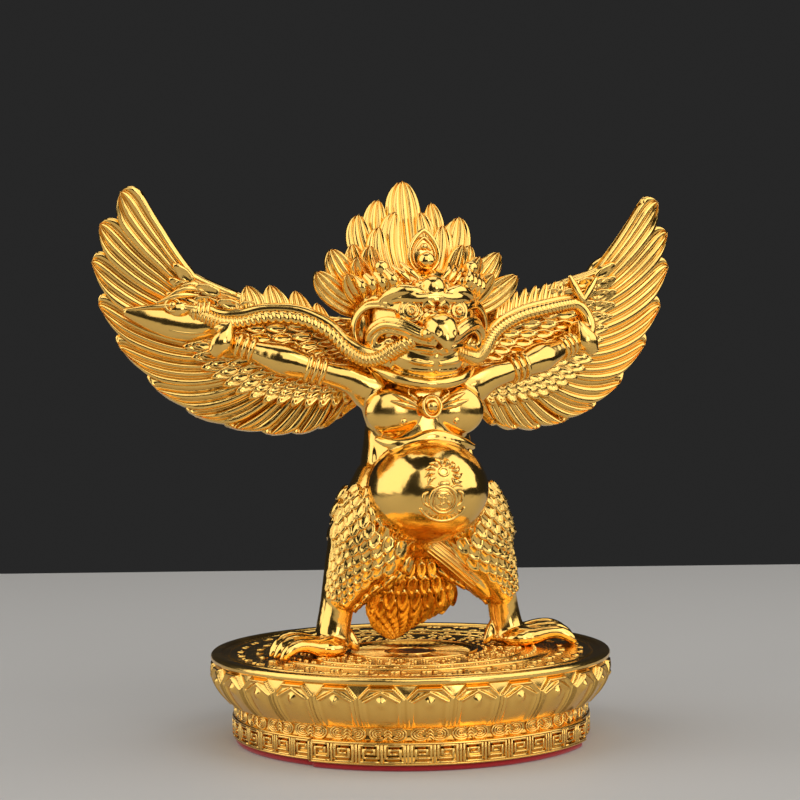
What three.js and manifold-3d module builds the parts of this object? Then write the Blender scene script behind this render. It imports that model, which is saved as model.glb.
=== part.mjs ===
// A small cast statuette: a winged bird deity, standing on a round lotus plinth.
// Millimetres, +Z up. The figure faces -Y. The origin is the plinth's axis at the underside of its pad.
import * as THREE from 'three';
import { mergeVertices } from 'three/addons/utils/BufferGeometryUtils.js';
import Module from 'manifold-3d';

const wasm = await Module();
wasm.setup();

// Driving dimensions: the figure
const figureHeight = 125.6;     // from the deck to the tip of the crown
const figureOffset = 3.0;       // the figure stands this far towards +X of the plinth's axis
const featherCount = 12;        // flight feathers of one wing
const seatGap = 0.2;            // clearance left between pieces that rest on each other

// Driving dimensions: the plinth
const padThickness = 1.3;
const padInset = 0.9;           // the pad stands back from the foot by this much
const footRadius = 47.3;
const panelProud = 1.4;         // the front and back panels stand proud of the foot by this much
const panelHalfAngle = 49;      // degrees either side of the front
const footHeight = 5.6;
const friezeHeight = 3.2;
const friezeRadius = 46.6;
const bowlHeight = 11.6;        // lotus petals, from the frieze to the lip
const bowlWaistRadius = 48.8;
const bowlRadius = 53.6;        // the widest point of the petals
const petalCount = 28;
const petalRelief = 1.6;
const lipHeight = 1.5;
const lipWidth = 3.6;
const lipStep = 0.55;           // the polished lip stands above the deck by this much
const discRadius = 16.8;        // the polished disc in the middle of the deck
const discStep = 0.5;           // it lies this much lower than the deck

// The figure is laid out on a carver's grid, 126 units from the deck to the tip of the crown.
const gridHeight = 126;
const unit = figureHeight / gridHeight;
const grid = ([x, y, z]) => new THREE.Vector3(x, y, z).multiplyScalar(unit);
const mirrored = (points) => points.map(([x, ...rest]) => [-x, ...rest]);
const lerp = THREE.MathUtils.lerp;
const radians = THREE.MathUtils.degToRad;

// Proportions of a small blade: how soon it swells, how much it thins, its edge and back as shares of its thickness
const bladeSwell = 1.4;
const bladeTaper = 0.55;
const bladeEdge = 0.2;
const bladeBack = 0.55;

// Proportions of a blade in a fan: the groove at its edge, the groove between its flutes, and its back
const fanEdge = 0.1;
const fanGroove = 0.6;
const fanBack = 0.5;

// Six times the signed volume of an indexed mesh, to tell which way its faces point.
function signedVolume(points, faces) {
  return faces.reduce((sum, [a, b, c]) => {
    return sum + points[a].dot(points[b].clone().cross(points[c]));
  }, 0);
}

// A closed body from points and faces, with its faces turned outward.
function body(points, faces) {
  const outward = signedVolume(points, faces) > 0 ? faces : faces.map(([a, b, c]) => [a, c, b]);
  return new wasm.Manifold(new wasm.Mesh({
    numProp: 3,
    vertProperties: new Float32Array(points.flatMap((point) => point.toArray())),
    triVerts: new Uint32Array(outward.flat()),
  }));
}

// A closed skin over rings with the same number of points, drawn to a pole at each end.
function skin(rings, startPole, endPole) {
  const sides = rings[0].length;
  const points = [...rings.flat(), startPole, endPole];
  const start = points.length - 2;
  const end = points.length - 1;
  const lastRing = (rings.length - 1) * sides;
  const faces = [];
  for (let side = 0; side < sides; side += 1) {
    const next = (side + 1) % sides;
    for (let ring = 0; ring < rings.length - 1; ring += 1) {
      const low = ring * sides;
      const high = low + sides;
      faces.push([low + side, low + next, high + next], [low + side, high + next, high + side]);
    }
    faces.push([start, next, side], [end, lastRing + side, lastRing + next]);
  }
  return body(points, faces);
}

// A closed body from one of the library's own geometries.
function fromGeometry(geometry) {
  const bare = geometry.clone();
  bare.deleteAttribute('normal');
  bare.deleteAttribute('uv');
  const merged = mergeVertices(bare, 1e-4);
  const place = merged.getAttribute('position');
  const points = Array.from({ length: place.count }, (_, i) => new THREE.Vector3().fromBufferAttribute(place, i));
  const index = merged.getIndex().array;
  const faces = [];
  for (let i = 0; i < index.length; i += 3) {
    const face = [index[i], index[i + 1], index[i + 2]];
    if (new Set(face).size === 3) faces.push(face);
  }
  return body(points, faces);
}

// The frame of a path at one point: along it, out towards the front, and across.
function frameOf(tangent, front) {
  const along = tangent.clone().normalize();
  const across = along.clone().cross(front).normalize();
  return { along, across, out: across.clone().cross(along).normalize() };
}

// A rounded limb through stations of place, half width and half depth, in grid units.
function limb(stations, { sides = 8, steps = 8, front = [0, -1, 0], cap = 0.5, relief = null } = {}) {
  const path = new THREE.CatmullRomCurve3(stations.map((s) => grid(s)));
  const sizes = new THREE.CatmullRomCurve3(stations.map((s) => grid([s[3], s[4] ?? s[3], 0])));
  const facing = new THREE.Vector3(...front);
  const rings = [];
  for (let step = 0; step <= steps; step += 1) {
    const share = step / steps;
    const centre = path.getPoint(share);
    const size = sizes.getPoint(share);
    const { across, out } = frameOf(path.getTangent(share), facing);
    const ring = [];
    for (let side = 0; side < sides; side += 1) {
      const angle = (side / sides) * 2 * Math.PI;
      const swell = relief ? 1 + relief(step, side) : 1;
      ring.push(centre.clone()
        .addScaledVector(across, size.x * swell * Math.cos(angle))
        .addScaledVector(out, size.y * swell * Math.sin(angle)));
    }
    rings.push(ring);
  }
  const reach = (share) => cap * Math.min(sizes.getPoint(share).x, sizes.getPoint(share).y);
  const startPole = path.getPoint(0).addScaledVector(path.getTangent(0), -reach(0));
  const endPole = path.getPoint(1).addScaledVector(path.getTangent(1), reach(1));
  return skin(rings, startPole, endPole);
}

// An egg-shaped body: centre and half sizes in grid units.
function egg(centre, halfSizes, sides = 12) {
  const ball = new THREE.SphereGeometry(1, sides, Math.round(sides * 0.6));
  ball.rotateX(Math.PI / 2);
  ball.scale(...halfSizes.map((size) => size * unit));
  ball.translate(...grid(centre).toArray());
  return fromGeometry(ball);
}

// A keeled blade, for a flame, a jewel or a leaf: it has a ridge in front and one at the back.
// roundness is the share of its length, at the tip, over which it closes.
function blade(root, tip, { rootWidth, width, thick, rings = 3, roundness = 0.3 }) {
  const spine = new THREE.LineCurve3(grid(root), grid(tip));
  const { across, out } = frameOf(spine.getTangent(0), new THREE.Vector3(0, -1, 0));
  const sections = [];
  for (let ring = 0; ring < rings; ring += 1) {
    const share = ring / rings;
    const closing = Math.max(0, (share - 1 + roundness) / roundness);
    const swell = Math.sin(Math.min(1, share * bladeSwell) * Math.PI / 2);
    const half = lerp(rootWidth, width, swell) * Math.sqrt(1 - closing * closing) * unit;
    const deep = thick * lerp(1, bladeTaper, share) * unit;
    const centre = spine.getPoint(share);
    sections.push([[-1, bladeEdge], [0, 1], [1, bladeEdge], [0, -bladeBack]].map(([side, height]) => {
      return centre.clone().addScaledVector(across, side * half).addScaledVector(out, height * deep);
    }));
  }
  return skin(sections, spine.getPoint(0), grid(tip));
}

// A fan of blades cast as one sheet: fluted front, plain back, scalloped tips.
// line(share, along) is the middle of the sheet at that share across the fan and that share of a blade's length.
// rows says how far along each row lies and how thick the sheet is there; relief(row, column) adds scales to it.
function fan({ count, ridges, rows, notch, bluntness = 3, line, relief = () => 0 }) {
  const perBlade = 2 * ridges;
  const front = new THREE.Vector3(0, -1, 0);
  const sheetPoint = (share, along, height) => {
    return grid(line(share, along)).addScaledVector(front, height * unit);
  };
  const rings = rows.map(([share, deep], row) => {
    const ring = [];
    for (let column = 0; column <= count * perBlade; column += 1) {
      const place = (2 * (column % perBlade)) / perBlade - 1;
      const reach = 1 - notch * Math.abs(place) ** bluntness;
      const flute = column % perBlade === 0 ? fanEdge : (column % 2 ? 1 : fanGroove);
      ring.push(sheetPoint(column / (count * perBlade), share * reach, deep * flute + relief(row, column)));
    }
    for (let edge = count; edge >= 0; edge -= 1) {
      ring.push(sheetPoint(edge / count, share * (1 - notch), -fanBack * deep));
    }
    return ring;
  });
  return body(rings.flat(), fanFaces(rings.length, count, perBlade));
}

function fanFaces(ringCount, count, perBlade) {
  const frontCount = count * perBlade + 1;
  const sides = frontCount + count + 1;
  const faces = [];
  for (let ring = 0; ring < ringCount - 1; ring += 1) {
    for (let side = 0; side < sides; side += 1) {
      const next = (side + 1) % sides;
      const low = ring * sides;
      faces.push([low + side, low + next, low + sides + next], [low + side, low + sides + next, low + sides + side]);
    }
  }
  for (const [base, flip] of [[0, true], [(ringCount - 1) * sides, false]]) {
    const backPoint = (edge) => base + frontCount + count - edge;
    const add = (a, b, c) => faces.push(flip ? [a, c, b] : [a, b, c]);
    for (let blade = 0; blade < count; blade += 1) {
      const first = base + blade * perBlade;
      const half = perBlade / 2;
      for (let step = 0; step < half; step += 1) {
        add(backPoint(blade), first + step, first + step + 1);
        add(backPoint(blade + 1), first + half + step, first + half + step + 1);
      }
      add(backPoint(blade), first + half, backPoint(blade + 1));
    }
  }
  return faces;
}

// Wings
// The wing is a cupped sheet: it sweeps back from the shoulder and its upper feathers lean forward.
// Every line of the sheet runs from the shoulder over the coverts to the covert edge, and on to a feather's tip.
const wingDepth = (x, z) => 6.5 + 15 * Math.max(0, (x - 12) / 60) ** 1.2 - 0.36 * Math.max(0, z - 96);
const shoulderLine = [[10, 87], [9, 84], [9, 81], [9, 78], [9, 75]];
const covertEdge = [[57.5, 101.4], [57.5, 91.5], [50, 78], [38.5, 71.5], [31, 70.3], [24.5, 70], [15, 71.5]];
const featherTips = [[74.6, 126.6], [83.4, 109.8], [79.8, 87], [62, 65.4], [41.5, 57.6], [26, 58.2], [17, 64.5]];
const covertShare = 0.34;       // share of a line's length taken up by the coverts
const wingRows = [[0, 2], [0.335, 2.4], [0.36, 1.9], [0.7, 2], [1, 0.9]];
const covertScale = 0.9;        // relief of the coverts' scales
const rim = [[10, 85.5, 2.6], [26, 90.8, 2], [44, 96.8, 1.8], [61, 103, 1.7], [68.4, 110.6, 1.4], [73.6, 119.4, 0.9]];
const rightDip = 3.8;           // the right wing's leading edge dips this much behind the serpent
const dipStart = 10;
const dipEnd = 66;

function alongLine(line, share) {
  const curve = new THREE.CatmullRomCurve3(line.map(([x, z]) => new THREE.Vector3(x, 0, z)));
  const point = curve.getPoint(share);
  return [point.x, point.z];
}

function wing(side, dip) {
  const onWing = ([x, z], share) => {
    const reach = THREE.MathUtils.clamp((x - dipStart) / (dipEnd - dipStart), 0, 1);
    return [side * x, wingDepth(x, z), z - dip * Math.sin(Math.PI * reach) * Math.max(0, 1 - 3 * share)];
  };
  const line = (share, along) => {
    const [start, edge, tip] = [shoulderLine, covertEdge, featherTips].map((points) => alongLine(points, share));
    const between = (from, to, part) => from.map((value, i) => lerp(value, to[i], part));
    if (along <= covertShare) return onWing(between(start, edge, along / covertShare), share);
    const length = Math.hypot(tip[0] - edge[0], tip[1] - edge[1]);
    const droop = length * lerp(0.08, 0.24, Math.min(1, 2.2 * share)) * (share > 0.6 ? 0.7 : 1);
    const middle = between(edge, tip, 0.5);
    const bend = [middle[0] + droop * lerp(0.5, -0.1, share), middle[1] - droop];
    const part = (along - covertShare) / (1 - covertShare);
    return onWing(between(between(edge, bend, part), between(bend, tip, part), part), share);
  };
  const scales = (row, column) => (row < 2 ? covertScale * (1 + ((row + (column >> 1)) % 2)) : 0);
  return [
    fan({ count: featherCount, ridges: 2, rows: wingRows, notch: 0.09, line, relief: scales }),
    limb(rim.map(([x, z, size]) => [...onWing([x, z], 0), size]), { sides: 5, steps: 5 }),
  ];
}

// Serpent
// It is held in the beak and runs out over both forearms to the hands.
const serpentRight = [[0, -14, 81, 2.4], [11, -11.5, 79, 2.5], [19, -7.5, 80.5, 2.5], [25, -3.5, 84, 2.5],
  [31, 1.5, 87.5, 2.5], [38, 5, 89.3, 2.4], [45, 8, 88.6, 2.3], [51, 11.5, 87.3, 2.3], [56, 14.5, 88.3, 2.6],
  [62, 16.5, 91.5, 3.4], [69, 17.5, 92, 2.8], [76, 17.5, 92.6, 1.5]];
const serpentLeft = [[0, -14, 81, 2.4], [9, -12, 78.5, 2.4], [15, -8, 80, 2.5], [19.5, -4.5, 84, 2.5],
  [27, 0.5, 88.4, 2.5], [37, 5, 92, 2.5], [46, 8, 93.6, 2.4], [51.5, 10.5, 95.2, 2.4], [55.5, 12, 92.5, 2.3],
  [56.5, 12.5, 87, 2.1], [55, 12, 81.5, 1.6]];
const maneStart = 0.3;
const maneEnd = 0.66;
const maneHeight = 6.2;
const maneLean = 2.6;           // the mane leans along the serpent, towards the hand

function serpent(stations, side) {
  const turned = stations.map(([x, ...rest]) => [side * x, ...rest]);
  const path = new THREE.CatmullRomCurve3(turned.map(([x, y, z]) => new THREE.Vector3(x, y, z)));
  const mane = (share, along) => {
    const place = lerp(maneStart, maneEnd, share);
    const { x, y, z } = path.getPoint(place);
    const lean = path.getTangent(place).multiplyScalar(maneLean);
    return [x + along * lean.x, y + 1.8 * along, z + lerp(0.5, maneHeight, along)];
  };
  return [
    limb(turned, { sides: 6, steps: 14 }),
    fan({ count: 5, ridges: 1, rows: [[0, 1.6], [0.6, 1.6], [1, 0.8]], notch: 0.4, line: mane }),
  ];
}

// Arms
const armStations = [[8, 0, 69.4, 6, 6], [17, -1.6, 71.6, 4.3, 4.2], [25.6, -0.6, 73.9, 3.1], [26.6, -0.4, 74.2, 4],
  [30, 0.2, 75.2, 3.9], [31, 0.4, 75.5, 3.3], [36, 2.2, 77.1, 4.2], [42.6, 5.2, 79.5, 2.7], [43.4, 5.6, 79.8, 3.4],
  [46.6, 7.1, 81, 3.2], [47.4, 7.5, 81.3, 2.5], [50, 9, 82.6, 2.8]];

function arm(side) {
  const turn = ([x, ...rest]) => [side * x, ...rest];
  const fingers = [0, 1].map((finger) => egg(turn([50.6 + 0.7 * finger, 7.6, 81.6 + 3.2 * finger]), [3, 2, 1.8], 6));
  return [
    limb(armStations.map(turn), { sides: 7, steps: armStations.length + 2 }),
    ...fingers,
    limb([[48.4, 7.6, 83, 1.7], [47.6, 6.6, 86, 1.6], [48.2, 7, 89.4, 1.3]].map(turn), { sides: 4, steps: 2 }),
    egg(turn([50.6, 9.4, 84]), [3, 2.9, 4], 6),
  ];
}

// Crown of flame locks
// Each lock: its lean from the vertical in degrees, its reach from the crown's centre, and how far back it stands.
const crownCentre = [0, 3, 86];
const halfCrown = [[64, 30.4, -2], [50, 31, -1.5], [37, 27.6, 2], [25, 33, 6], [12, 35.4, 9], [0, 40, 10]];
const crownRows = [[0.35, 3.2], [0.75, 2.6], [1, 1.1]];

function crown() {
  const locks = [...halfCrown, ...halfCrown.slice(0, -1).reverse().map(([angle, ...rest]) => [-angle, ...rest])];
  const tips = new THREE.CatmullRomCurve3(locks.map(([angle, reach, depth]) => new THREE.Vector3(angle, reach, depth)));
  const count = locks.length;
  const line = (share, along) => {
    const place = THREE.MathUtils.clamp((share * count - 0.5) / (count - 1), 0, 1);
    const { x: angle, y: reach, z: depth } = tips.getPoint(place);
    const [x, y, z] = crownCentre;
    const part = along * reach;
    return [x + part * Math.sin(radians(angle)), y + along * depth, z + part * Math.cos(radians(angle))];
  };
  return [fan({ count, ridges: 2, rows: crownRows, notch: 0.17, bluntness: 5, line })];
}

// Eggs and columns seen from an axis: the skin follows whichever reaches farthest out.
// levels are the heights of the rows; column(height) gives the half width and half depth there.
function envelope({ levels, sides, column, eggs, axisY = 0 }) {
  const farSide = (centre, half, height, out, deep) => {
    const lift = (height - centre[2]) / half[2];
    if (Math.abs(lift) >= 1) return 0;
    const shrink = Math.sqrt(1 - lift * lift);
    const [a, b] = [half[0] * shrink, half[1] * shrink];
    const [x, y] = [-centre[0], axisY - centre[1]];
    const p = (out / a) ** 2 + (deep / b) ** 2;
    const q = (x * out) / (a * a) + (y * deep) / (b * b);
    const r = (x / a) ** 2 + (y / b) ** 2 - 1;
    const root = q * q - p * r;
    return root > 0 ? Math.max(0, (-q + Math.sqrt(root)) / p) : 0;
  };
  const rings = levels.map((height) => Array.from({ length: sides }, (_, side) => {
    const angle = ((side + 0.5) / sides) * 2 * Math.PI;
    const [out, deep] = [Math.cos(angle), Math.sin(angle)];
    const [wide, thick] = column(height);
    const base = 1 / Math.hypot(out / wide, deep / thick);
    const reach = Math.max(base, ...eggs.map(([centre, half]) => farSide(centre, half, height, out, deep)));
    return grid([reach * out, axisY + reach * deep, height]);
  }));
  return skin(rings, grid([0, axisY, levels[0] - 0.5]), grid([0, axisY, levels.at(-1) + 1]));
}

// Half width and half depth of a column, from rows of height, half width and half depth.
function columnOf(rows) {
  return (height) => {
    const last = rows.findIndex(([level]) => level >= height);
    const above = rows[last < 1 ? 1 : last];
    const below = rows[last < 1 ? 0 : last - 1];
    const share = THREE.MathUtils.clamp((height - below[0]) / (above[0] - below[0]), 0, 1);
    return [lerp(below[1], above[1], share), lerp(below[2], above[2], share)];
  };
}

// Head
const beakStations = [[0, -8, 87, 7.5, 6], [0, -14, 87, 6, 5], [0, -19, 86.2, 4.2, 4], [0.2, -22.5, 84, 2.6, 3],
  [0.4, -24, 81.6, 1.2, 1.6]];
const lipHalf = [[14, -3.5, 84.6, 1.3], [12.2, -8, 83, 1.4], [8, -13, 84.4, 1.5], [3.6, -18, 83.6, 1.5], [0, -20.8, 82.4, 1.5]];
const collarHalf = [[14, 3, 77.5, 1.8], [13.2, -4, 75.2, 1.8], [8, -10.4, 71.8, 1.8], [0, -12.8, 70.4, 1.8]];
const browLine = [[1.5, -14.4, 93.6, 1.6], [6, -15.4, 95, 2], [11, -12.6, 94.8, 1.9], [15, -7, 92, 1.4]];
const skullLevels = [68, 71.5, 75, 78.5, 82.5, 86.5, 90.5, 94.5, 98, 101];
const skullColumn = columnOf([[66, 10.5, 8], [80, 11, 8], [90, 13, 10], [101, 6, 5]]);
const skullEggs = [
  [[0, -2, 87.5], [15, 13, 14.5]],
  [[0, -7.5, 77.6], [10.5, 8.6, 7]],
  [[15.4, -0.5, 88], [3.4, 4, 6.8]],
  [[-15.4, -0.5, 88], [3.4, 4, 6.8]],
  [[11, -9.6, 86.5], [3.8, 3.6, 3.6]],
  [[-11, -9.6, 86.5], [3.8, 3.6, 3.6]],
];

// A line drawn on one side and carried on over the midline to the other.
const bothSides = (half) => [...half, ...mirrored(half.filter(([x]) => x > 0)).reverse()];

function head() {
  const pieces = [
    envelope({ levels: skullLevels, sides: 12, column: skullColumn, eggs: skullEggs, axisY: -1 }),
    egg([0, -11.8, 97], [4.6, 4.4, 4.4], 6),
    blade([0, -5, 101.5], [0, -3.6, 111.5], { rootWidth: 3, width: 3.6, thick: 2.4, roundness: 0.8 }),
    limb(beakStations, { sides: 6, steps: 4 }),
    limb(bothSides(lipHalf), { sides: 4, steps: 6, front: [0, 0, 1] }),
    limb(bothSides(collarHalf), { sides: 4, steps: 6, front: [0, 0, 1] }),
  ];
  for (const side of [1, -1]) {
    const turn = ([x, ...rest]) => [side * x, ...rest];
    pieces.push(
      egg(turn([6.1, -13, 89.6]), [3.1, 3, 2.9], 6),
      limb(browLine.map(turn), { sides: 5, steps: 3 }),
    );
  }
  return pieces;
}

// Torso
const torsoLevels = [23, 27.5, 30.9, 33, 37, 42, 47, 51.5, 55, 57, 60, 64, 68.5, 71.5, 75];
const torsoColumn = columnOf([[23, 9, 8], [30, 14, 11], [40, 16.4, 12], [50, 14.6, 10.5], [58, 14.4, 9.6],
  [66, 16, 9], [75, 12, 8]]);
const torsoEggs = [
  [[-0.4, -10.4, 44], [17.2, 15, 13.2]],
  [[8.3, -6.8, 64.4], [7.6, 6.6, 6.2]],
  [[-8.3, -6.8, 64.4], [7.6, 6.6, 6.2]],
];
const emblemPlace = [0, -25, 41.5];
const emblemRadius = 4.2;
const emblemWire = 1.3;
const flankLine = [[12.6, 1, 59, 1.6, 3], [14.6, 1, 51, 2, 4.6], [18.2, 0.6, 43, 2.2, 5.4], [20.6, 0.5, 35, 1.6, 4.4]];

function torso() {
  const ring = new THREE.TorusGeometry(emblemRadius * unit, emblemWire * unit, 4, 8);
  ring.rotateX(Math.PI / 2 + 0.1);
  ring.translate(...grid(emblemPlace).toArray());
  const leaf = { rootWidth: 1, width: 2, thick: 1.4, rings: 2 };
  const pieces = [
    envelope({ levels: torsoLevels, sides: 14, column: torsoColumn, eggs: torsoEggs }),
    fromGeometry(ring),
    blade([0, -24.2, 46.6], [0, -22.2, 53.6], { rootWidth: 2.2, width: 2.9, thick: 1.5, roundness: 0.7 }),
    egg([0, -12, 65.4], [2.4, 2.4, 2.4], 6),
  ];
  for (const side of [1, -1]) {
    const turn = ([x, ...rest]) => [side * x, ...rest];
    pieces.push(
      blade(turn([1.4, -11.6, 65.2]), turn([10.4, -12.4, 67]), leaf),
      limb(flankLine.map(turn), { sides: 5, steps: 3 }),
    );
  }
  return pieces;
}

// Legs and tail
// Alternate points of the grid on a feathered limb stand out, which gives rows of lozenge scales.
const lozenges = (depth) => (step, side) => ((step + side) % 2 ? depth : 0);
const thighStations = [[9, 0, 44, 9.5, 9.5], [11.4, -0.5, 36, 11.4, 10.4], [14, -1, 27.5, 11.6, 9.4],
  [19, -1, 20, 7.6, 7.2], [22.4, -1, 14, 4.9, 5.4]];
const shinStations = [[22.2, -1, 17, 4.2, 4.4], [23, -0.6, 12, 4, 4.2], [23.6, -0.3, 8, 4.2, 4.3],
  [24.2, -0.2, 4, 5.2, 5], [24.6, -0.4, 0.5, 6, 5.4]];
const toePaths = [
  [[26, -3.4, 2.8, 3], [31, -6.4, 4.4, 2.6], [35.6, -8.4, 5.6, 2.2], [39.2, -9.4, 3.4, 1.7], [40, -9.4, 0.3, 0.9]],
  [[26, -1.4, 3.4, 3], [32, -2.6, 4.8, 2.6], [37.4, -3.6, 5.8, 2.2], [41.2, -4, 3.6, 1.7], [42, -4, 0.3, 0.9]],
  [[25.6, 0.8, 3, 2.8], [31, 1.8, 3.8, 2.4], [36, 2.8, 4.4, 2], [39.6, 3.2, 2.6, 1.6], [40.4, 3.2, 0.3, 0.9]],
];
const heelPath = [[22.6, 0, 5, 2.6], [19.6, -0.4, 2.8, 1.9], [17.6, -0.6, 0.3, 0.9]];
const tailStations = [[0, 1.5, 29, 7, 5], [0, 4, 21.5, 10.6, 4], [0, 8, 14, 12.2, 3.4], [0, 14, 7.4, 9.6, 2.8],
  [0, 19.4, 2.6, 4.6, 2], [0, 21.4, 0.6, 1.8, 1.2]];

function leg(side) {
  const turn = ([x, ...rest]) => [side * x, ...rest];
  return [
    limb(thighStations.map(turn), { sides: 12, steps: 8, relief: lozenges(0.08), cap: 0.1 }),
    limb(shinStations.map(turn), { sides: 8, steps: 3, cap: 0.1 }),
    ...toePaths.map((path) => limb(path.map(turn), { sides: 5, steps: 4, front: [0, -0.9, 0.5] })),
    limb(heelPath.map(turn), { sides: 5, steps: 2 }),
  ];
}

function tail() {
  return [limb(tailStations, { sides: 12, steps: 8, relief: lozenges(0.08), cap: 0.4 })];
}

// Everything below the soles is cut away, so that the feet and the tail stand flat.
function belowSoles() {
  const depth = 10;
  const block = new THREE.BoxGeometry(3 * gridHeight * unit, 3 * gridHeight * unit, depth);
  block.translate(0, 0, -depth / 2);
  return fromGeometry(block);
}

function joined(pieces) {
  return pieces.reduce((whole, piece) => whole.add(piece));
}

function figure() {
  const pieces = [
    ...torso(), ...head(), ...crown(), ...tail(),
    ...wing(-1, rightDip), ...wing(1, 0),
    ...[1, -1].flatMap((side) => [...arm(side), ...leg(side)]),
    ...serpent(serpentRight, -1), ...serpent(serpentLeft, 1),
  ];
  return joined(pieces).subtract(belowSoles());
}

// Plinth
const footBottom = padThickness + seatGap;
const footTop = footBottom + footHeight;
const friezeTop = footTop + friezeHeight;
const bowlTop = friezeTop + bowlHeight;
const lipTop = bowlTop + lipHeight;
const deckLevel = lipTop - lipStep;
const lipInner = bowlRadius - lipWidth;
const panelRadius = footRadius + panelProud;
const edgeEase = 0.5;           // small bevels of the foot and the lip

// The bowl bulges from its waist to its widest point, then turns in a little under the lip.
function bowlProfile() {
  const rows = 5;
  return Array.from({ length: rows + 1 }, (_, row) => {
    const share = row / rows;
    const bulge = Math.sin(Math.min(1, share * 1.25) * Math.PI / 2);
    const turnIn = 1.6 * edgeEase * share ** 4;
    return [lerp(bowlWaistRadius, bowlRadius, bulge) - turnIn, friezeTop + share * bowlHeight];
  });
}

// Foot, frieze, lotus bowl, lip and deck are turned as one; every other line of the bowl is a petal's crest.
function turnedPlinth() {
  const profile = [
    [0, footBottom], [footRadius, footBottom], [footRadius, footTop], [friezeRadius, footTop + edgeEase],
    ...bowlProfile(),
    [bowlRadius - 2 * edgeEase, lipTop], [lipInner, lipTop], [lipInner - lipStep, deckLevel],
    [discRadius, deckLevel], [discRadius - discStep, deckLevel - discStep], [0, deckLevel - discStep],
  ];
  const segments = 2 * petalCount;
  const lathe = new THREE.LatheGeometry(profile.map(([radius, height]) => new THREE.Vector2(radius, height)), segments);
  lathe.rotateX(Math.PI / 2);
  const place = lathe.getAttribute('position');
  for (let index = 0; index < place.count; index += 1) {
    const [x, y, z] = [place.getX(index), place.getY(index), place.getZ(index)];
    const share = (z - friezeTop) / bowlHeight;
    const inBowl = share > 0.02 && share < 0.98 && Math.hypot(x, y) > bowlWaistRadius;
    const line = Math.round((Math.atan2(x, -y) / (2 * Math.PI)) * segments);
    const crest = Math.abs(line % 2) === 0;
    if (inBowl) {
      const move = 1 + (petalRelief * (crest ? 0.5 : -0.5)) / Math.hypot(x, y);
      place.setXY(index, x * move, y * move);
    }
  }
  return fromGeometry(lathe);
}

// The raised panel at the front or the back of the foot.
function panel(facing) {
  const shape = new THREE.Shape();
  const half = radians(panelHalfAngle);
  const middle = facing - Math.PI / 2;
  shape.absarc(0, 0, panelRadius, middle - half, middle + half, false);
  shape.absarc(0, 0, footRadius - 2, middle + half, middle - half, true);
  shape.closePath();
  const plate = new THREE.ExtrudeGeometry(shape, { depth: footHeight, bevelEnabled: false, curveSegments: 10 });
  plate.translate(0, 0, footBottom);
  return fromGeometry(plate);
}

function plinth() {
  return joined([turnedPlinth(), panel(0), panel(Math.PI)]);
}

// The pad under the foot follows the foot's outline, standing back by its inset.
function pad() {
  const shape = new THREE.Shape();
  const half = radians(panelHalfAngle);
  const wide = panelRadius - padInset;
  const narrow = footRadius - padInset;
  const quarter = Math.PI / 2;
  shape.absarc(0, 0, wide, -quarter - half, -quarter + half, false);
  shape.absarc(0, 0, narrow, -quarter + half, quarter - half, false);
  shape.absarc(0, 0, wide, quarter - half, quarter + half, false);
  shape.absarc(0, 0, narrow, quarter + half, 3 * quarter - half, false);
  shape.closePath();
  return new THREE.ExtrudeGeometry(shape, { depth: padThickness, bevelEnabled: false, curveSegments: 7 });
}

function geometryOf(solid) {
  const { vertProperties, triVerts } = solid.getMesh();
  const geometry = new THREE.BufferGeometry();
  geometry.setAttribute('position', new THREE.BufferAttribute(new Float32Array(vertProperties), 3));
  geometry.setIndex(new THREE.BufferAttribute(new Uint32Array(triVerts), 1));
  geometry.computeVertexNormals();
  return geometry;
}

const gilt = new THREE.MeshStandardMaterial({ color: 0xd9a32b, metalness: 1, roughness: 0.18 });
const giltPlinth = new THREE.MeshStandardMaterial({ color: 0xcf9a2a, metalness: 1, roughness: 0.2 });
const redFlock = new THREE.MeshStandardMaterial({ color: 0xb4161a, metalness: 0, roughness: 0.9 });

function named(name, geometry, material) {
  const mesh = new THREE.Mesh(geometry, material);
  mesh.name = name;
  return mesh;
}

const figureMesh = named('garuda_figure', geometryOf(figure()), gilt);
figureMesh.position.set(figureOffset, 0, deckLevel + seatGap);

const statuette = new THREE.Group();
statuette.add(named('base_pad', pad(), redFlock));
statuette.add(named('lotus_plinth', geometryOf(plinth()), giltPlinth));
statuette.add(figureMesh);

export default statuette;
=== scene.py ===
import math

import bpy
import numpy as np
from mathutils import Matrix, Vector
from mathutils.bvhtree import BVHTree


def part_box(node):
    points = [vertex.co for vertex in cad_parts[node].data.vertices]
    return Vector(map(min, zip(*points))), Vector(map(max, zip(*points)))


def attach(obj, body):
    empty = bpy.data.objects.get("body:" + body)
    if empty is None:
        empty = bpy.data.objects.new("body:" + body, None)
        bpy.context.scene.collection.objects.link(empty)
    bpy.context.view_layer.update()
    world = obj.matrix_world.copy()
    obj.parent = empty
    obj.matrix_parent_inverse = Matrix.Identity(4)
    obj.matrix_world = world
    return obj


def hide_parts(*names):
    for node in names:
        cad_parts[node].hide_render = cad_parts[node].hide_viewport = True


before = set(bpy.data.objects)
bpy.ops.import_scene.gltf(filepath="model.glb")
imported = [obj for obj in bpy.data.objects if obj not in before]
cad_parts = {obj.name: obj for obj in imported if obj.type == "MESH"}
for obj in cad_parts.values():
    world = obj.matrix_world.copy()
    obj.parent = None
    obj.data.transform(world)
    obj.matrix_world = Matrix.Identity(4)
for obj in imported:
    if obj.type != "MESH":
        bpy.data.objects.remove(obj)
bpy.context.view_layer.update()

mm = 0.001
padBox, plinthBox, figureBox = (
    np.array([list(corner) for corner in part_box(node)]) / mm
    for node in ("base_pad", "lotus_plinth", "garuda_figure"))
print("frame loaded")

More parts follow.
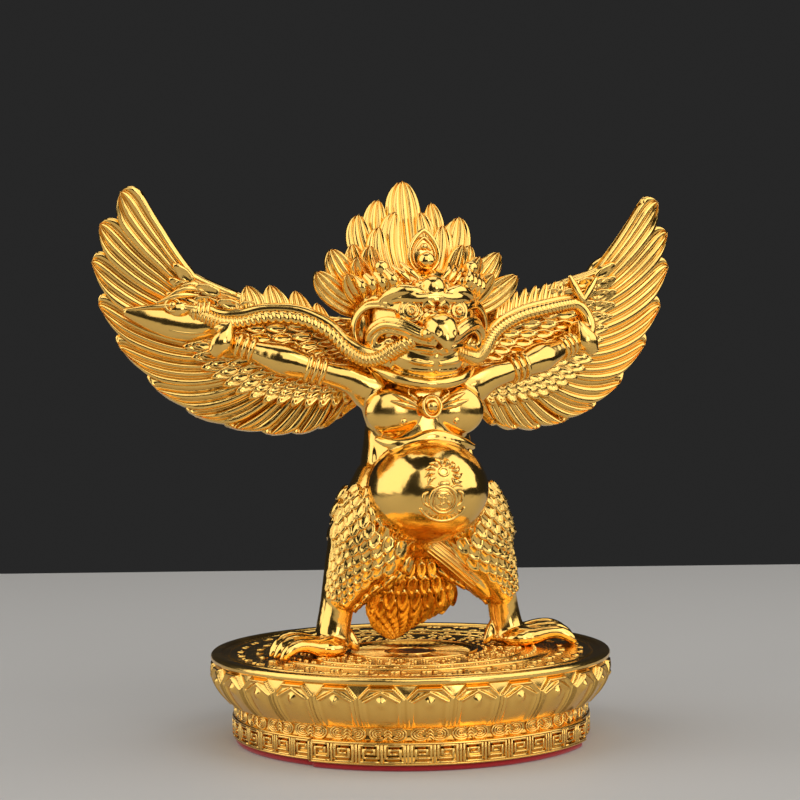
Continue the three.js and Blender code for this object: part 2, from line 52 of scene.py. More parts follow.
# Camera: the photograph's viewpoint, found from the plinth's ellipses
viewpoint = {
    "azimuth": -17.9,        # degrees round from the front
    "distance": 500.0,       # from the plinth's axis
    "height": 93.2,          # above the table
    "pitch": 0.47,           # degrees down
    "yaw": -0.22,
    "roll": -0.71,
    "focalPixels": 1882.0,   # focal length in pixels of an 800 pixel frame
    "frameWidth": 800,
    "sensor": 36.0,
}


def makeCamera():
    azimuth, pitch, yaw, roll = (math.radians(viewpoint[key]) for key in ("azimuth", "pitch", "yaw", "roll"))
    back = Vector((math.sin(azimuth), -math.cos(azimuth), 0))
    side = Vector((math.cos(azimuth), math.sin(azimuth), 0))
    level = -back * math.cos(yaw) + side * math.sin(yaw)
    forward = level * math.cos(pitch) - Vector((0, 0, math.sin(pitch)))
    flatRight = side * math.cos(yaw) + back * math.sin(yaw)
    flatUp = flatRight.cross(forward)
    right = flatRight * math.cos(roll) + flatUp * math.sin(roll)
    up = flatUp * math.cos(roll) - flatRight * math.sin(roll)
    place = (back * viewpoint["distance"] + Vector((0, 0, viewpoint["height"]))) * mm
    data = bpy.data.cameras.new("camera")
    data.sensor_width = viewpoint["sensor"]
    data.lens = viewpoint["sensor"] * viewpoint["focalPixels"] / viewpoint["frameWidth"]
    camera = bpy.data.objects.new("camera", data)
    camera.matrix_world = Matrix.Translation(place) @ Matrix((right, up, -forward)).transposed().to_4x4()
    bpy.context.scene.collection.objects.link(camera)
    bpy.context.scene.camera = camera


makeCamera()

# Shapes: each is a closed shell, kept as an array of points and an array of triangles


def unitOf(rows):
    return rows / np.maximum(np.linalg.norm(rows, axis=-1, keepdims=True), 1e-9)


def roundAngles(count):
    return np.arange(count) / count * 2 * np.pi


def outward(points, faces):
    a, b, c = (points[faces[:, k]] for k in range(3))
    volume = np.einsum("ij,ij->i", a, np.cross(b, c)).sum()
    return (points, faces if volume > 0 else faces[:, ::-1])


# A skin over rings of points, closed at each end on a pole
def skin(rings, poles):
    count, sides = rings.shape[:2]
    index = np.arange(count * sides).reshape(count, sides)
    beside = np.roll(index, -1, 1)
    start, end = np.full(sides, count * sides), np.full(sides, count * sides + 1)
    faces = np.concatenate([
        np.stack([index[:-1], beside[:-1], beside[1:]], -1).reshape(-1, 3),
        np.stack([index[:-1], beside[1:], index[1:]], -1).reshape(-1, 3),
        np.stack([start, beside[0], index[0]], -1),
        np.stack([end, index[-1], beside[-1]], -1)])
    return outward(np.concatenate([rings.reshape(-1, 3), poles]), faces)


# A skin over rings that close on themselves, such as a hoop
def loopSkin(rings):
    count, sides = rings.shape[:2]
    index = np.arange(count * sides).reshape(count, sides)
    beside, after = np.roll(index, -1, 1), np.roll(index, -1, 0)
    both = np.roll(after, -1, 1)
    faces = np.concatenate([
        np.stack([index, beside, both], -1).reshape(-1, 3),
        np.stack([index, both, after], -1).reshape(-1, 3)])
    return outward(rings.reshape(-1, 3), faces)


# A smooth curve through rows of numbers, spaced by the first three of each row
def spline(rows, shares):
    rows = np.asarray(rows, float)
    place = np.clip(shares, 0, 1) * (len(rows) - 1)
    index = np.minimum(place.astype(int), len(rows) - 2)
    part = (place - index)[..., None]
    padded = np.concatenate([[2 * rows[0] - rows[1]], rows, [2 * rows[-1] - rows[-2]]])
    a, b, c, d = (padded[index + k] for k in range(4))
    gaps = [np.maximum(np.linalg.norm((q - p)[..., :3], axis=-1, keepdims=True), 1e-6) ** 0.5
            for p, q in ((a, b), (b, c), (c, d))]
    leave = ((b - a) / gaps[0] - (c - a) / (gaps[0] + gaps[1]) + (c - b) / gaps[1]) * gaps[1]
    arrive = ((c - b) / gaps[1] - (d - b) / (gaps[1] + gaps[2]) + (d - c) / gaps[2]) * gaps[1]
    return (b + part * leave + part**2 * (3 * (c - b) - 2 * leave - arrive)
            + part**3 * (2 * (b - c) + leave + arrive))


# Stations of place, half width and half depth, which is the width again where a row leaves it out
def stationsOf(rows):
    return np.array([(*row, row[3]) if len(row) == 4 else row for row in rows], float)


# A rounded limb through stations; relief adds to it along and round
def limb(stations, sides=20, steps=24, front=(0, -1, 0), relief=None, cap=0.8):
    shares = np.linspace(0, 1, steps + 1)
    line = spline(stationsOf(stations), shares)
    centre, size = line[:, :3], np.maximum(line[:, 3:5], 0.05)
    along = unitOf(np.gradient(centre, axis=0))
    bends = np.radians([70, 45, 20])
    reach = cap * size[[0, -1]].min(1)
    centre = np.concatenate([
        centre[0] - along[0] * reach[0] * np.sin(bends)[:, None], centre,
        centre[-1] + along[-1] * reach[1] * np.sin(bends[::-1])[:, None]])
    size = np.concatenate([size[0] * np.cos(bends)[:, None], size, size[-1] * np.cos(bends[::-1])[:, None]])
    along = np.concatenate([along[[0, 0, 0]], along, along[[-1, -1, -1]]])
    shares = np.concatenate([[0, 0, 0], shares, [1, 1, 1]])
    across = unitOf(np.cross(along, front))
    out = unitOf(np.cross(across, along))
    angle = roundAngles(sides)
    extra = relief(shares[:, None], angle[None, :]) if relief else np.zeros((len(shares), sides))
    rings = (centre[:, None]
             + across[:, None] * ((size[:, :1] + extra) * np.cos(angle))[..., None]
             + out[:, None] * ((size[:, 1:] + extra) * np.sin(angle))[..., None])
    poles = np.array([centre[3] - along[0] * reach[0], centre[-4] + along[-1] * reach[1]])
    return skin(rings, poles)


# Limbs in a series, each with its stations moved on from the last
def series(first, change, sides, steps, count=4):
    return [limb(np.array(first, float) + np.array(change) * number, sides, steps) for number in range(count)]


# An egg: centre, half sizes, and a turn in degrees about X, Y and Z
def egg(centre, half, sides, turn=(0, 0, 0)):
    tilt = np.radians(np.linspace(-90, 90, sides // 2 + 1))[1:-1, None]
    angle = roundAngles(sides)
    rings = np.stack(np.broadcast_arrays(
        np.cos(tilt) * np.cos(angle), np.cos(tilt) * np.sin(angle), np.sin(tilt)), -1)
    x, y, z = (Matrix.Rotation(math.radians(value), 3, axis) for value, axis in zip(turn, "XYZ"))
    tilted = np.array(z @ y @ x).T
    place = lambda points: (points * half) @ tilted + centre
    return skin(place(rings), place(np.array([[0, 0, -1.0], [0, 0, 1.0]])))


# A closed wire through points of an outline that returns to its start
def hoop(points, wire, sides=8, normal=(0, -1, 0)):
    points = np.asarray(points, float)
    along = unitOf(np.roll(points, -1, 0) - np.roll(points, 1, 0))
    across = unitOf(np.cross(along, normal))
    out = unitOf(np.cross(across, along))
    angle = roundAngles(sides)
    return loopSkin(points[:, None] + across[:, None] * (wire * np.cos(angle))[:, None]
                    + out[:, None] * (wire * np.sin(angle))[:, None])


# A round hoop about an axis, such as one ring of a bracelet
def ringRound(centre, axis, radii, wire, count=28, sides=8):
    axis = unitOf(np.asarray(axis, float))
    first = unitOf(np.cross(axis, (0, 0, 1.0)))
    second = np.cross(axis, first)
    angle = roundAngles(count)[:, None]
    points = centre + first * radii[0] * np.cos(angle) + second * radii[1] * np.sin(angle)
    spoke = unitOf(points - centre)
    turn = roundAngles(sides)
    return loopSkin(points[:, None] + spoke[:, None] * (wire * np.cos(turn))[:, None]
                    + axis * (wire * np.sin(turn))[:, None])


# A blade or leaf: surface(u, v) is its middle sheet, with u across and v along, height its relief in front
# and back its thickness behind; outline(v) narrows it
def ribbon(surface, height, back, outline, columns, rows):
    place = np.linspace(-1, 1, columns)[None, :]
    v = np.linspace(0, 1, rows)[:, None]
    narrow = np.maximum(outline(v), 0.02)
    sheet = surface(place * narrow, v + 0 * place)
    normal = unitOf(np.cross(np.gradient(sheet, axis=0), np.gradient(sheet, axis=1)))
    normal *= np.sign(1e-9 - normal[..., 1:2])
    face = sheet + normal * height(place, v)[..., None]
    rear = sheet - normal * back(place, v)[..., None]
    rings = np.concatenate([face, rear[:, ::-1]], 1)
    return skin(rings, sheet[[0, -1], columns // 2])


def mirrored(shape):
    points, faces = shape
    return (points * (-1, 1, 1), faces[:, ::-1])


def bothSides(shapes):
    return [*shapes, *(mirrored(shape) for shape in shapes)]


def newObject(name, mesh):
    piece = bpy.data.objects.new(name, mesh)
    bpy.context.scene.collection.objects.link(piece)
    return piece


# Numbers of a mesh's items, as rows
def numbersOf(items, label, width=3, kind=float):
    numbers = np.empty(len(items) * width, kind)
    items.foreach_get(label, numbers)
    return numbers.reshape(-1, width)


def triangleCount(mesh):
    return sum(len(face.vertices) - 2 for face in mesh.polygons)


def meshObject(name, shapes, smooth=True):
    points = np.concatenate([points for points, _ in shapes])
    starts = np.cumsum([0, *(len(points) for points, _ in shapes)])
    faces = np.concatenate([faces + start for (_, faces), start in zip(shapes, starts)])
    mesh = bpy.data.meshes.new(name)
    mesh.vertices.add(len(points))
    mesh.vertices.foreach_set("co", (points * mm).astype(np.float32).ravel())
    mesh.loops.add(faces.size)
    mesh.loops.foreach_set("vertex_index", faces.astype(np.int32).ravel())
    mesh.polygons.add(len(faces))
    mesh.polygons.foreach_set("loop_start", np.arange(0, faces.size, 3, dtype=np.int32))
    mesh.update(calc_edges=True)
    mesh.validate()
    if smooth:
        mesh.shade_smooth()
    return newObject(name, mesh)


# Turns an object's modifiers into a plain mesh
def settle(piece):
    view = bpy.context.evaluated_depsgraph_get()
    mesh = bpy.data.meshes.new_from_object(piece.evaluated_get(view))
    piece.modifiers.clear()
    unsettled = piece.data
    piece.data = mesh
    mesh.name = piece.name
    bpy.data.meshes.remove(unsettled)


# Gives a node its inputs: a socket is linked, and any other value is set
def feed(tree, node, inputs):
    for key, value in inputs.items():
        if isinstance(value, bpy.types.NodeSocket):
            tree.links.new(value, node.inputs[key])
        else:
            node.inputs[key].default_value = value


def nodeOf(tree, kind, inputs=None, **settings):
    node = tree.nodes.new(kind)
    for key, value in settings.items():
        setattr(node, key, value)
    feed(tree, node, inputs or {})
    return node


# Node trees for what repeats. Each takes a hidden pattern piece and leaves a plain mesh.
def copiesTree(name, numbers, placesOf):
    tree = bpy.data.node_groups.new(name, "GeometryNodeTree")
    for label, kind in {"Geometry": "Geometry", "Pattern": "Object", "Finish": "Material", **numbers}.items():
        tree.interface.new_socket(label, in_out="INPUT", socket_type="NodeSocket" + kind)
    tree.interface.new_socket("Geometry", in_out="OUTPUT", socket_type="NodeSocketGeometry")
    given = nodeOf(tree, "NodeGroupInput").outputs
    pattern = nodeOf(tree, "GeometryNodeObjectInfo", {"Object": given["Pattern"]}).outputs["Geometry"]
    copies = nodeOf(tree, "GeometryNodeInstanceOnPoints",
                    {"Instance": pattern, **placesOf(tree, given)}).outputs[0]
    real = nodeOf(tree, "GeometryNodeRealizeInstances", {"Geometry": copies}).outputs[0]
    finished = nodeOf(tree, "GeometryNodeSetMaterial",
                      {"Geometry": real, "Material": given["Finish"]}).outputs[0]
    nodeOf(tree, "NodeGroupOutput", {"Geometry": finished})
    return tree


# Places round a circle, each turned to face out
def ringPlaces(tree, given):
    number = nodeOf(tree, "GeometryNodeInputIndex").outputs[0]
    angle = nodeOf(tree, "ShaderNodeMath", {0: number, 1: given["Step Angle"], 2: given["First Angle"]},
                   operation="MULTIPLY_ADD").outputs[0]
    depth = nodeOf(tree, "ShaderNodeMath", {0: given["Radius"], 1: -1.0}, operation="MULTIPLY").outputs[0]
    spoke = nodeOf(tree, "ShaderNodeCombineXYZ", {"Y": depth, "Z": given["Height"]}).outputs[0]
    place = nodeOf(tree, "ShaderNodeVectorRotate", {"Vector": spoke, "Angle": angle}, rotation_type="Z_AXIS")
    points = nodeOf(tree, "GeometryNodePoints", {"Count": given["Count"], "Position": place.outputs[0]})
    turn = nodeOf(tree, "ShaderNodeCombineXYZ", {"Z": angle})
    return {"Points": points.outputs[0], "Rotation": turn.outputs[0]}


# Places on the points of a mesh that carry "outward", "along" and "size" attributes
def scatterPlaces(tree, given):
    def attribute(name, kind="FLOAT_VECTOR"):
        return nodeOf(tree, "GeometryNodeInputNamedAttribute", {"Name": name},
                      data_type=kind).outputs["Attribute"]

    lift = nodeOf(tree, "FunctionNodeAlignRotationToVector", {"Vector": attribute("outward")}, axis="Z")
    swing = nodeOf(tree, "FunctionNodeAlignRotationToVector",
                   {"Rotation": lift.outputs[0], "Vector": attribute("along")}, axis="Y", pivot_axis="Z")
    size = nodeOf(tree, "ShaderNodeMath", {0: attribute("size", "FLOAT"), 1: given["Size"]},
                  operation="MULTIPLY")
    return {"Points": given["Geometry"], "Rotation": swing.outputs[0], "Scale": size.outputs[0]}


ringTree = copiesTree("ringOfCopies", {
    "Count": "Int", "Radius": "Float", "Height": "Float", "First Angle": "Float", "Step Angle": "Float"},
    ringPlaces)
scatterTree = copiesTree("copiesOnPoints", {"Size": "Float"}, scatterPlaces)


# Runs a node tree over a piece, with its inputs given by name, and keeps the plain mesh
def repeated(piece, tree, pattern, finish, values):
    modifier = piece.modifiers.new("copies", "NODES")
    modifier.node_group = tree
    sockets = {item.name: item.identifier for item in tree.interface.items_tree if item.in_out == "INPUT"}
    modifier[sockets["Pattern"]] = pattern
    modifier[sockets["Finish"]] = finish
    for label, value in values.items():
        modifier[sockets[label]] = value
    settle(piece)
    bpy.data.objects.remove(pattern)
    piece.data.shade_smooth()
    return piece


def ringOf(name, pattern, finish, count, radius=0.0, height=0.0, first=0.0, step=None):
    piece = newObject(name, bpy.data.meshes.new(name))
    pitch = 360 / count if step is None else step
    return repeated(piece, ringTree, pattern, finish, {
        "Count": count, "Radius": radius * mm, "Height": height * mm,
        "First Angle": math.radians(first), "Step Angle": math.radians(pitch)})


def shapeOf(piece):
    mesh = piece.data
    mesh.calc_loop_triangles()
    points, faces = numbersOf(mesh.vertices, "co"), numbersOf(mesh.loop_triangles, "vertices", 3, np.int32)
    bpy.data.objects.remove(piece)
    return (points / mm, faces.astype(int))


# Finishes
giltLook = {
    "colour": (1.0, 0.62, 0.16),
    "paintedShade": (0.68, 0.33, 0.05),     # painted shade, laid into the hollows
    "roughness": 0.11,
    "roughnessSpread": 0.09,
    "cloudSize": 9.0,               # millimetres across a cloud of duller plating
    "grainSize": 0.35,
    "grainDepth": 0.004,
    "waveSize": 2.6,                # the casting's slight unevenness
    "waveDepth": 0.08,
}


def newFinish(name):
    material = bpy.data.materials.new(name)
    material.use_nodes = True
    return material, material.node_tree, material.node_tree.nodes["Principled BSDF"]


def noiseOf(tree, size, **settings):
    where = nodeOf(tree, "ShaderNodeTexCoord").outputs["Object"]
    return nodeOf(tree, "ShaderNodeTexNoise",
                  {"Vector": where, "Scale": 1 / (size * mm), **settings}).outputs["Fac"]


def bumpOf(tree, height, depth, strength, **settings):
    return nodeOf(tree, "ShaderNodeBump", {"Height": height, "Distance": depth * mm, "Strength": strength,
                                           **settings}).outputs[0]


def giltFinish(name, look):
    material, tree, shader = newFinish(name)
    # Painted shade: the hollow mark mixes the gilt colour towards the darker painted shade colour
    hollow = nodeOf(tree, "ShaderNodeAttribute", attribute_name="hollow").outputs["Fac"]
    depth = nodeOf(tree, "ShaderNodeMapRange",
                   {"Value": hollow, "From Min": 0.45, "From Max": 0.9}).outputs[0]
    tint = nodeOf(tree, "ShaderNodeMix", {"Factor": depth}, data_type="RGBA")
    for socket, colour in zip([s for s in tint.inputs if s.type == "RGBA"], (look["colour"], look["paintedShade"])):
        socket.default_value = (*colour, 1)
    cloud = noiseOf(tree, look["cloudSize"], Detail=3.0, Roughness=0.6)
    rough = nodeOf(tree, "ShaderNodeMapRange", {
        "Value": cloud, "From Min": 0.35, "From Max": 0.7, "To Min": look["roughness"],
        "To Max": look["roughness"] + look["roughnessSpread"]}).outputs[0]
    uneven = bumpOf(tree, noiseOf(tree, look["waveSize"], Detail=1.0), look["waveDepth"], 1.0)
    bump = bumpOf(tree, noiseOf(tree, look["grainSize"], Detail=2.0), look["grainDepth"], 0.6, Normal=uneven)
    colour = next(s for s in tint.outputs if s.type == "RGBA")
    feed(tree, shader, {"Metallic": 1.0, "Base Color": colour, "Roughness": rough, "Normal": bump})
    return material


flockLook = {"colour": (0.5, 0.012, 0.016), "shade": (0.3, 0.006, 0.01), "fibre": 0.5, "depth": 0.12}


def flockFinish(name, look):
    material, tree, shader = newFinish(name)
    fibre = noiseOf(tree, look["fibre"], Detail=4.0)
    ramp = nodeOf(tree, "ShaderNodeValToRGB", {"Fac": fibre})
    for element, colour in zip(ramp.color_ramp.elements, (look["shade"], look["colour"])):
        element.color = (*colour, 1)
    feed(tree, shader, {"Base Color": ramp.outputs["Color"], "Roughness": 0.95, "Sheen Weight": 0.4,
                        "Sheen Roughness": 0.5, "Normal": bumpOf(tree, fibre, look["depth"], 0.8)})
    return material


gilt = giltFinish("giltFigure", giltLook)
giltPlinth = giltFinish("giltPlinth", {**giltLook, "roughness": 0.16, "grainDepth": 0.006})
redFlock = flockFinish("redFlock", flockLook)


# A function that averages values over the neighbours of each point of a mesh
def neighbourMean(mesh):
    ends = numbersOf(mesh.edges, "vertices", 2, np.int32)
    a, b = ends.T
    count = np.maximum(np.bincount(ends.ravel(), minlength=len(mesh.vertices)), 1)

    def mean(values):
        if values.ndim == 2:
            return np.stack([mean(column) for column in values.T], 1)
        return (np.bincount(a, values[b], len(count)) + np.bincount(b, values[a], len(count))) / count

    return mean


# Marks how deep each point lies in a hollow, from how its neighbours stand about it, for the gilt's painted
# shade
def markHollows(piece, reach=0.35, rounds=3):
    mesh = piece.data
    mean = neighbourMean(mesh)
    points = numbersOf(mesh.vertices, "co") / mm
    hollow = ((mean(points) - points) * numbersOf(mesh.vertex_normals, "vector")).sum(1)
    for _ in range(rounds):
        hollow = 0.4 * hollow + 0.6 * mean(hollow)
    field = mesh.attributes.new("hollow", "FLOAT", "POINT")
    field.data.foreach_set("value", np.clip(0.5 + hollow / reach, 0, 1).astype(np.float32))


def finishPiece(piece, finish):
    piece.data.materials.clear()
    piece.data.materials.append(finish)
    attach(piece, "root")
    print(piece.name, "triangles:", triangleCount(piece.data))


# Points round the plinth's axis, at angles from the front towards the figure's left
def turned(radius, angle, height):
    return np.stack(np.broadcast_arrays(radius * np.sin(angle), -radius * np.cos(angle), height), -1)


# Plinth
plinth = {
    "footRadius": 47.3,
    "footHeight": 5.6,
    "panelProud": 1.4,
    "panelAngle": 49.0,        # degrees either side of the front and of the back
    "friezeHeight": 3.2,
    "friezeRadius": 46.6,
    "bowlHeight": 11.6,
    "waistRadius": 48.8,
    "bowlRadius": 53.6,
    "petalCount": 28,
    "petalRelief": 1.45,
    "petalTop": 0.93,
    "petalFlat": 0.5,          # share of the petal's half width that is flat on top
    "petalDrop": 2.9,          # from the petal's flat top down to its side
    "ribWidth": 0.36,
    "innerRib": (1.3, 3.2, 0.74),    # drop of its point, slope of its arch, share of the half width
    "bossDrop": 3.9,
    "lipHeight": 1.5,
    "lipWidth": 3.6,
    "lipEdge": 1.1,            # radius of the lip's round outer edge
    "lipStep": 0.55,
    "discRadius": 16.8,
    "discStep": 0.5,
    "recess": 0.45,
    "padInset": 0.9,
    "segments": 308,
}
footBottom = plinthBox[0][2]
footTop = footBottom + plinth["footHeight"]
friezeTop = footTop + plinth["friezeHeight"]
bowlTop = friezeTop + plinth["bowlHeight"]
lipTop = bowlTop + plinth["lipHeight"]
deckLevel = lipTop - plinth["lipStep"]


# Radius of the bowl's smooth body at a share of its height
def bowlRadiusAt(share):
    bulge = np.sin(np.minimum(1, share * 1.25) * np.pi / 2)
    return plinth["waistRadius"] + (plinth["bowlRadius"] - plinth["waistRadius"]) * bulge - 0.8 * share**4


# How far a petal stands out: across in shares of half its pitch, and a share of the bowl's height. A rib
# runs round it, flat on top and straight down the sides, and a pointed one inside over a boss.
def petalHeight(across, share):
    side = np.abs(across)
    halfPitch = math.pi * plinth["bowlRadius"] / plinth["petalCount"]
    below = (plinth["petalTop"] - share) * plinth["bowlHeight"]
    drop = plinth["petalDrop"] * np.maximum(0, side - plinth["petalFlat"]) / (1 - plinth["petalFlat"])
    inset = np.minimum(0.9 * (below - drop), (1 - side) * halfPitch)
    point, slope, wide = plinth["innerRib"]
    inner = np.minimum(0.85 * (below - point - slope * side), (wide - side) * halfPitch)
    boss = bell(np.hypot(side * halfPitch, 0.8 * (below - plinth["bossDrop"])), 0.95)
    edges = np.maximum(bell(inset - 0.5, plinth["ribWidth"]), 0.9 * bell(inner, plinth["ribWidth"]))
    ribs = np.maximum(edges, boss)
    return smooth(-0.1, 0.4, inset) * (0.28 + 0.14 * smooth(0, 3, inner) + 0.58 * ribs)


def smooth(low, high, value):
    part = np.clip((value - low) / (high - low), 0, 1)
    return part * part * (3 - 2 * part)


def bell(value, width):
    return np.exp(-((value / width) ** 2))


def bowlShape():
    rows, count = 72, plinth["petalCount"]
    share = np.linspace(0, 1, rows)[:, None]
    angle = roundAngles(32 * count)[None, :]
    phase = angle / (2 * np.pi) * count
    across = (phase - np.round(phase)) * 2
    fade = smooth(0, 0.02, share) * (1 - 0.3 * smooth(0.3, 0, share))
    relief = plinth["petalRelief"]
    radius = bowlRadiusAt(share) - relief + relief * fade * petalHeight(across, share)
    rings = turned(radius, angle, friezeTop + share * plinth["bowlHeight"])
    return skin(rings, np.array([[0, 0, friezeTop], [0, 0, bowlTop]]))


# Lathe rows of radius and height: the foot and frieze below the bowl, and the lip and deck above it
def latheShape(profile):
    radius, height = np.array(profile, float).T[..., None]
    rings = turned(radius, roundAngles(plinth["segments"]), height)
    return skin(rings, np.array([[0, 0, profile[0][1]], [0, 0, profile[-1][1]]]))


def plinthShapes():
    foot, frieze, recess = plinth["footRadius"], plinth["friezeRadius"], plinth["recess"]
    bowl, disc = plinth["bowlRadius"], plinth["discRadius"]
    lip, discLevel = bowl - plinth["lipWidth"], deckLevel - plinth["discStep"]
    edge = plinth["lipEdge"]
    lipOut = [(bowl - 0.75 - edge * (1 - math.cos(t)), lipTop - edge + edge * math.sin(t))
              for t in np.radians([-40, -20, 0, 20, 40, 60, 80, 90])]
    below = [(20, footBottom), (foot - 0.4, footBottom), (foot, footBottom + 0.3), (foot, footBottom + 0.5),
             (foot - recess, footBottom + 0.65), (foot - recess, footTop - 0.65), (foot, footTop - 0.5),
             (foot, footTop - 0.2), (foot - 0.2, footTop), (frieze + 0.3, footTop + 0.05),
             (frieze, footTop + 0.4), (frieze, friezeTop - 0.5), (frieze + 0.3, friezeTop - 0.1),
             (frieze + 0.5, friezeTop + 0.3)]
    above = [(lip - 3, bowlTop - 1), (bowl - 2.4, bowlTop - 1), *lipOut, (lip + 0.5, lipTop),
             (lip + 0.1, lipTop - 0.12), (lip - 0.2, deckLevel + 0.05), (lip - 0.5, deckLevel),
             (disc + 0.3, deckLevel), (disc, deckLevel - 0.1), (disc - 0.15, discLevel), (6, discLevel)]
    return [latheShape(below), bowlShape(), latheShape(above)]


# Paints shade on the floors of the meander and the frieze, and on the deck between its ornaments, as in the
# hollows
def paintFloorShade(piece):
    mesh = piece.data
    x, y, z = numbersOf(mesh.vertices, "co").T / mm
    radius = np.hypot(x, y)
    field = mesh.attributes["hollow"].data
    hollow = numbersOf(field, "value", 1, np.float32)[:, 0]
    floor = plinth["footRadius"] - plinth["recess"]
    meanderSpan, friezeSpan = (footBottom + 0.6, footTop - 0.6), (footTop + 0.3, friezeTop - 0.4)
    for centre, (low, high), tint in (
            (floor + plinth["panelProud"], meanderSpan, 0.9), (floor, meanderSpan, 0.9),
            (plinth["friezeRadius"], friezeSpan, 0.8)):
        hollow[(np.abs(radius - centre) < 0.05) & (z > low) & (z < high)] = tint
    hollow[(radius < deck["edge"]) & (np.abs(z - deckLevel) < 0.02)] = 0.7
    field.foreach_set("value", hollow)


# A plate bent round the axis, between two angles in degrees, two radii and two heights
def bentPlate(angles, radii, heights, steps=48, ease=0.25, recess=None):
    (low, high), (inner, outer) = heights, radii
    floor = [(outer, low + 0.5), (outer - recess, low + 0.65), (outer - recess, high - 0.65),
             (outer, high - 0.5)] if recess else []
    loop = [(inner, low), (outer - ease, low), (outer, low + ease), *floor, (outer, high - ease),
            (outer - ease, high), (inner, high)]
    angle = np.radians(np.linspace(*angles, steps + 1))[:, None]
    radius, height = np.array(loop).T[:, None]
    rings = turned(radius, angle, height)
    return skin(rings, rings[[0, -1]].mean(1))


# A bar of the foot's patterns, drawn on the flat as x along the foot and z up, and bent round the foot
def bentBar(start, end, radius):
    half = meander["width"] / 2
    (x0, z0), (x1, z1) = start, end
    lowX, highX = min(x0, x1) - half, max(x0, x1) + half
    angles = [math.degrees(x / radius) for x in (lowX, highX)]
    return bentPlate(angles, (radius - meander["rooted"], radius + meander["proud"]),
                     (min(z0, z1) - half, max(z0, z1) + half), max(1, round((highX - lowX) / 1.2)), ease=0.12)


meander = {
    "cell": 4.0,
    "bottom": 0.8,
    "step": 1.0,
    "width": 0.52,
    "proud": 0.08,
    "rooted": 0.6,
    "panelCells": 13,
    "panelPitch": 7.54,    # degrees from cell to cell
    "sideCells": 11,
}


# One cell of the meander: a square spiral between two upright bars
def meanderCell(radius, flip, pitch):
    cell, step = meander["cell"], meander["step"]
    wide, low = cell / 2 + 0.35, footBottom + meander["bottom"]
    turn = [(wide, 0), (-wide, 0), (-wide, cell), (wide, cell), (wide, step), (-wide + step, step),
            (-wide + step, cell - step), (wide - step, cell - step), (wide - step, 2 * step),
            (-wide + 2 * step, 2 * step)]
    line = [(-x if flip else x, low + z) for x, z in turn]
    upright = radius * math.radians(pitch) / 2
    bars = [*zip(line, line[1:]), ((-upright, low), (-upright, low + cell))]
    return [bentBar(start, end, radius) for start, end in bars]


# The cells round the foot: two mirrored forms in turn, on the panels and on the foot between them
def meanderShapes():
    made = []
    foot, sideCells = plinth["footRadius"], meander["sideCells"]
    panels = foot + plinth["panelProud"], meander["panelCells"], meander["panelPitch"]
    sides = foot, sideCells, (180 - 2 * plinth["panelAngle"]) / sideCells
    for middle, (radius, cells, pitch) in ((0, panels), (180, panels), (90, sides), (270, sides)):
        first = middle - (cells - 1) / 2 * pitch
        for flip in (False, True):
            pattern = meshObject("meanderCell", meanderCell(radius, flip, pitch))
            count = cells // 2 + (cells % 2 if not flip else 0)
            start = first + (pitch if flip else 0)
            band = ringOf("meanderBand", pattern, giltPlinth, count, first=start, step=2 * pitch)
            made.append(shapeOf(band))
    return made


swirl = {"pairs": 29, "wire": 0.3, "arcs": (0.5, 1.02, 1.54), "offset": 2.4, "stretch": 1.35, "proud": 0.12}


# A pair of eyes of concentric arcs, open towards each other, with chevrons between them
def swirlPair():
    radius, wire, stretch = plinth["friezeRadius"] + swirl["proud"], swirl["wire"], swirl["stretch"]
    middle = (footTop + friezeTop) / 2 + 0.05
    bend = lambda x, z: (radius * math.sin(x / radius), -radius * math.cos(x / radius), z)
    shapes = []
    for side in (-1, 1):
        centre = side * swirl["offset"]
        sweep = np.radians(np.linspace(-128, 128, 13) + (0 if side > 0 else 180))
        for size in swirl["arcs"]:
            shapes.append(limb([
                (*bend(centre + stretch * size * math.cos(t), middle + size * math.sin(t)), wire)
                for t in sweep], sides=6, steps=22))
        shapes.append(egg(bend(centre, middle), (0.3, 0.3, 0.22), 8))
    for drop in (-0.5, 0.3, 1.1):
        chevron = [(*bend(x, middle + drop - abs(x) * 0.9), wire) for x in (-0.8, 0, 0.8)]
        shapes.append(limb(chevron, sides=6, steps=6))
    return shapes


deck = {
    "beadRings": ((19.9, 42, 0.75), (22.4, 47, 0.75), (33, 60, 0.8)),    # radius, count, size
    "strokeRings": ((40, 32, 0.0), (45, 36, 3.0)),                       # radius, count, first angle
    "scrolls": (26.4, 15),
    "lines": (17.6, 30.6, 36.2, 37.2, 48),
    "edge": 48,
    "rays": 48,    # fine ridges on the middle disc
    "raySteps": ((7, 0.1), (11, 0.2), (15.6, 0.26)),
    "discLine": 6.2,
}


# A short curved stroke of the deck's border
def deckStroke(side):
    rows = [(-1.9, -0.6 * side, 0, 0.3, 0.2), (-0.8, 0.6 * side, 0, 0.65, 0.36),
            (0.7, -0.5 * side, 0, 0.7, 0.36), (1.9, 0.7 * side, 0, 0.3, 0.2)]
    return limb(rows, sides=6, steps=8, front=(0, 0, 1))


# A curled leaf pair between the bead rings
def deckScroll():
    half = []
    for turn, size in ((0.2, 1.5), (1.4, 0.7)):
        sweep = np.linspace(0.2, 4.2, 8) + turn
        rows = [(2.1 + size * math.cos(t) * 0.9, size * math.sin(t) * 1.1 - 0.4, 0, 0.34) for t in sweep]
        half.append(limb(rows, sides=6, steps=12, front=(0, 0, 1)))
    half.append(egg((1.2, 2.6, 0), (0.5, 1.1, 0.4), 8, (0, 0, 24)))
    return [*bothSides(half), egg((0, -2.4, 0), (0.7, 0.9, 0.5), 8)]


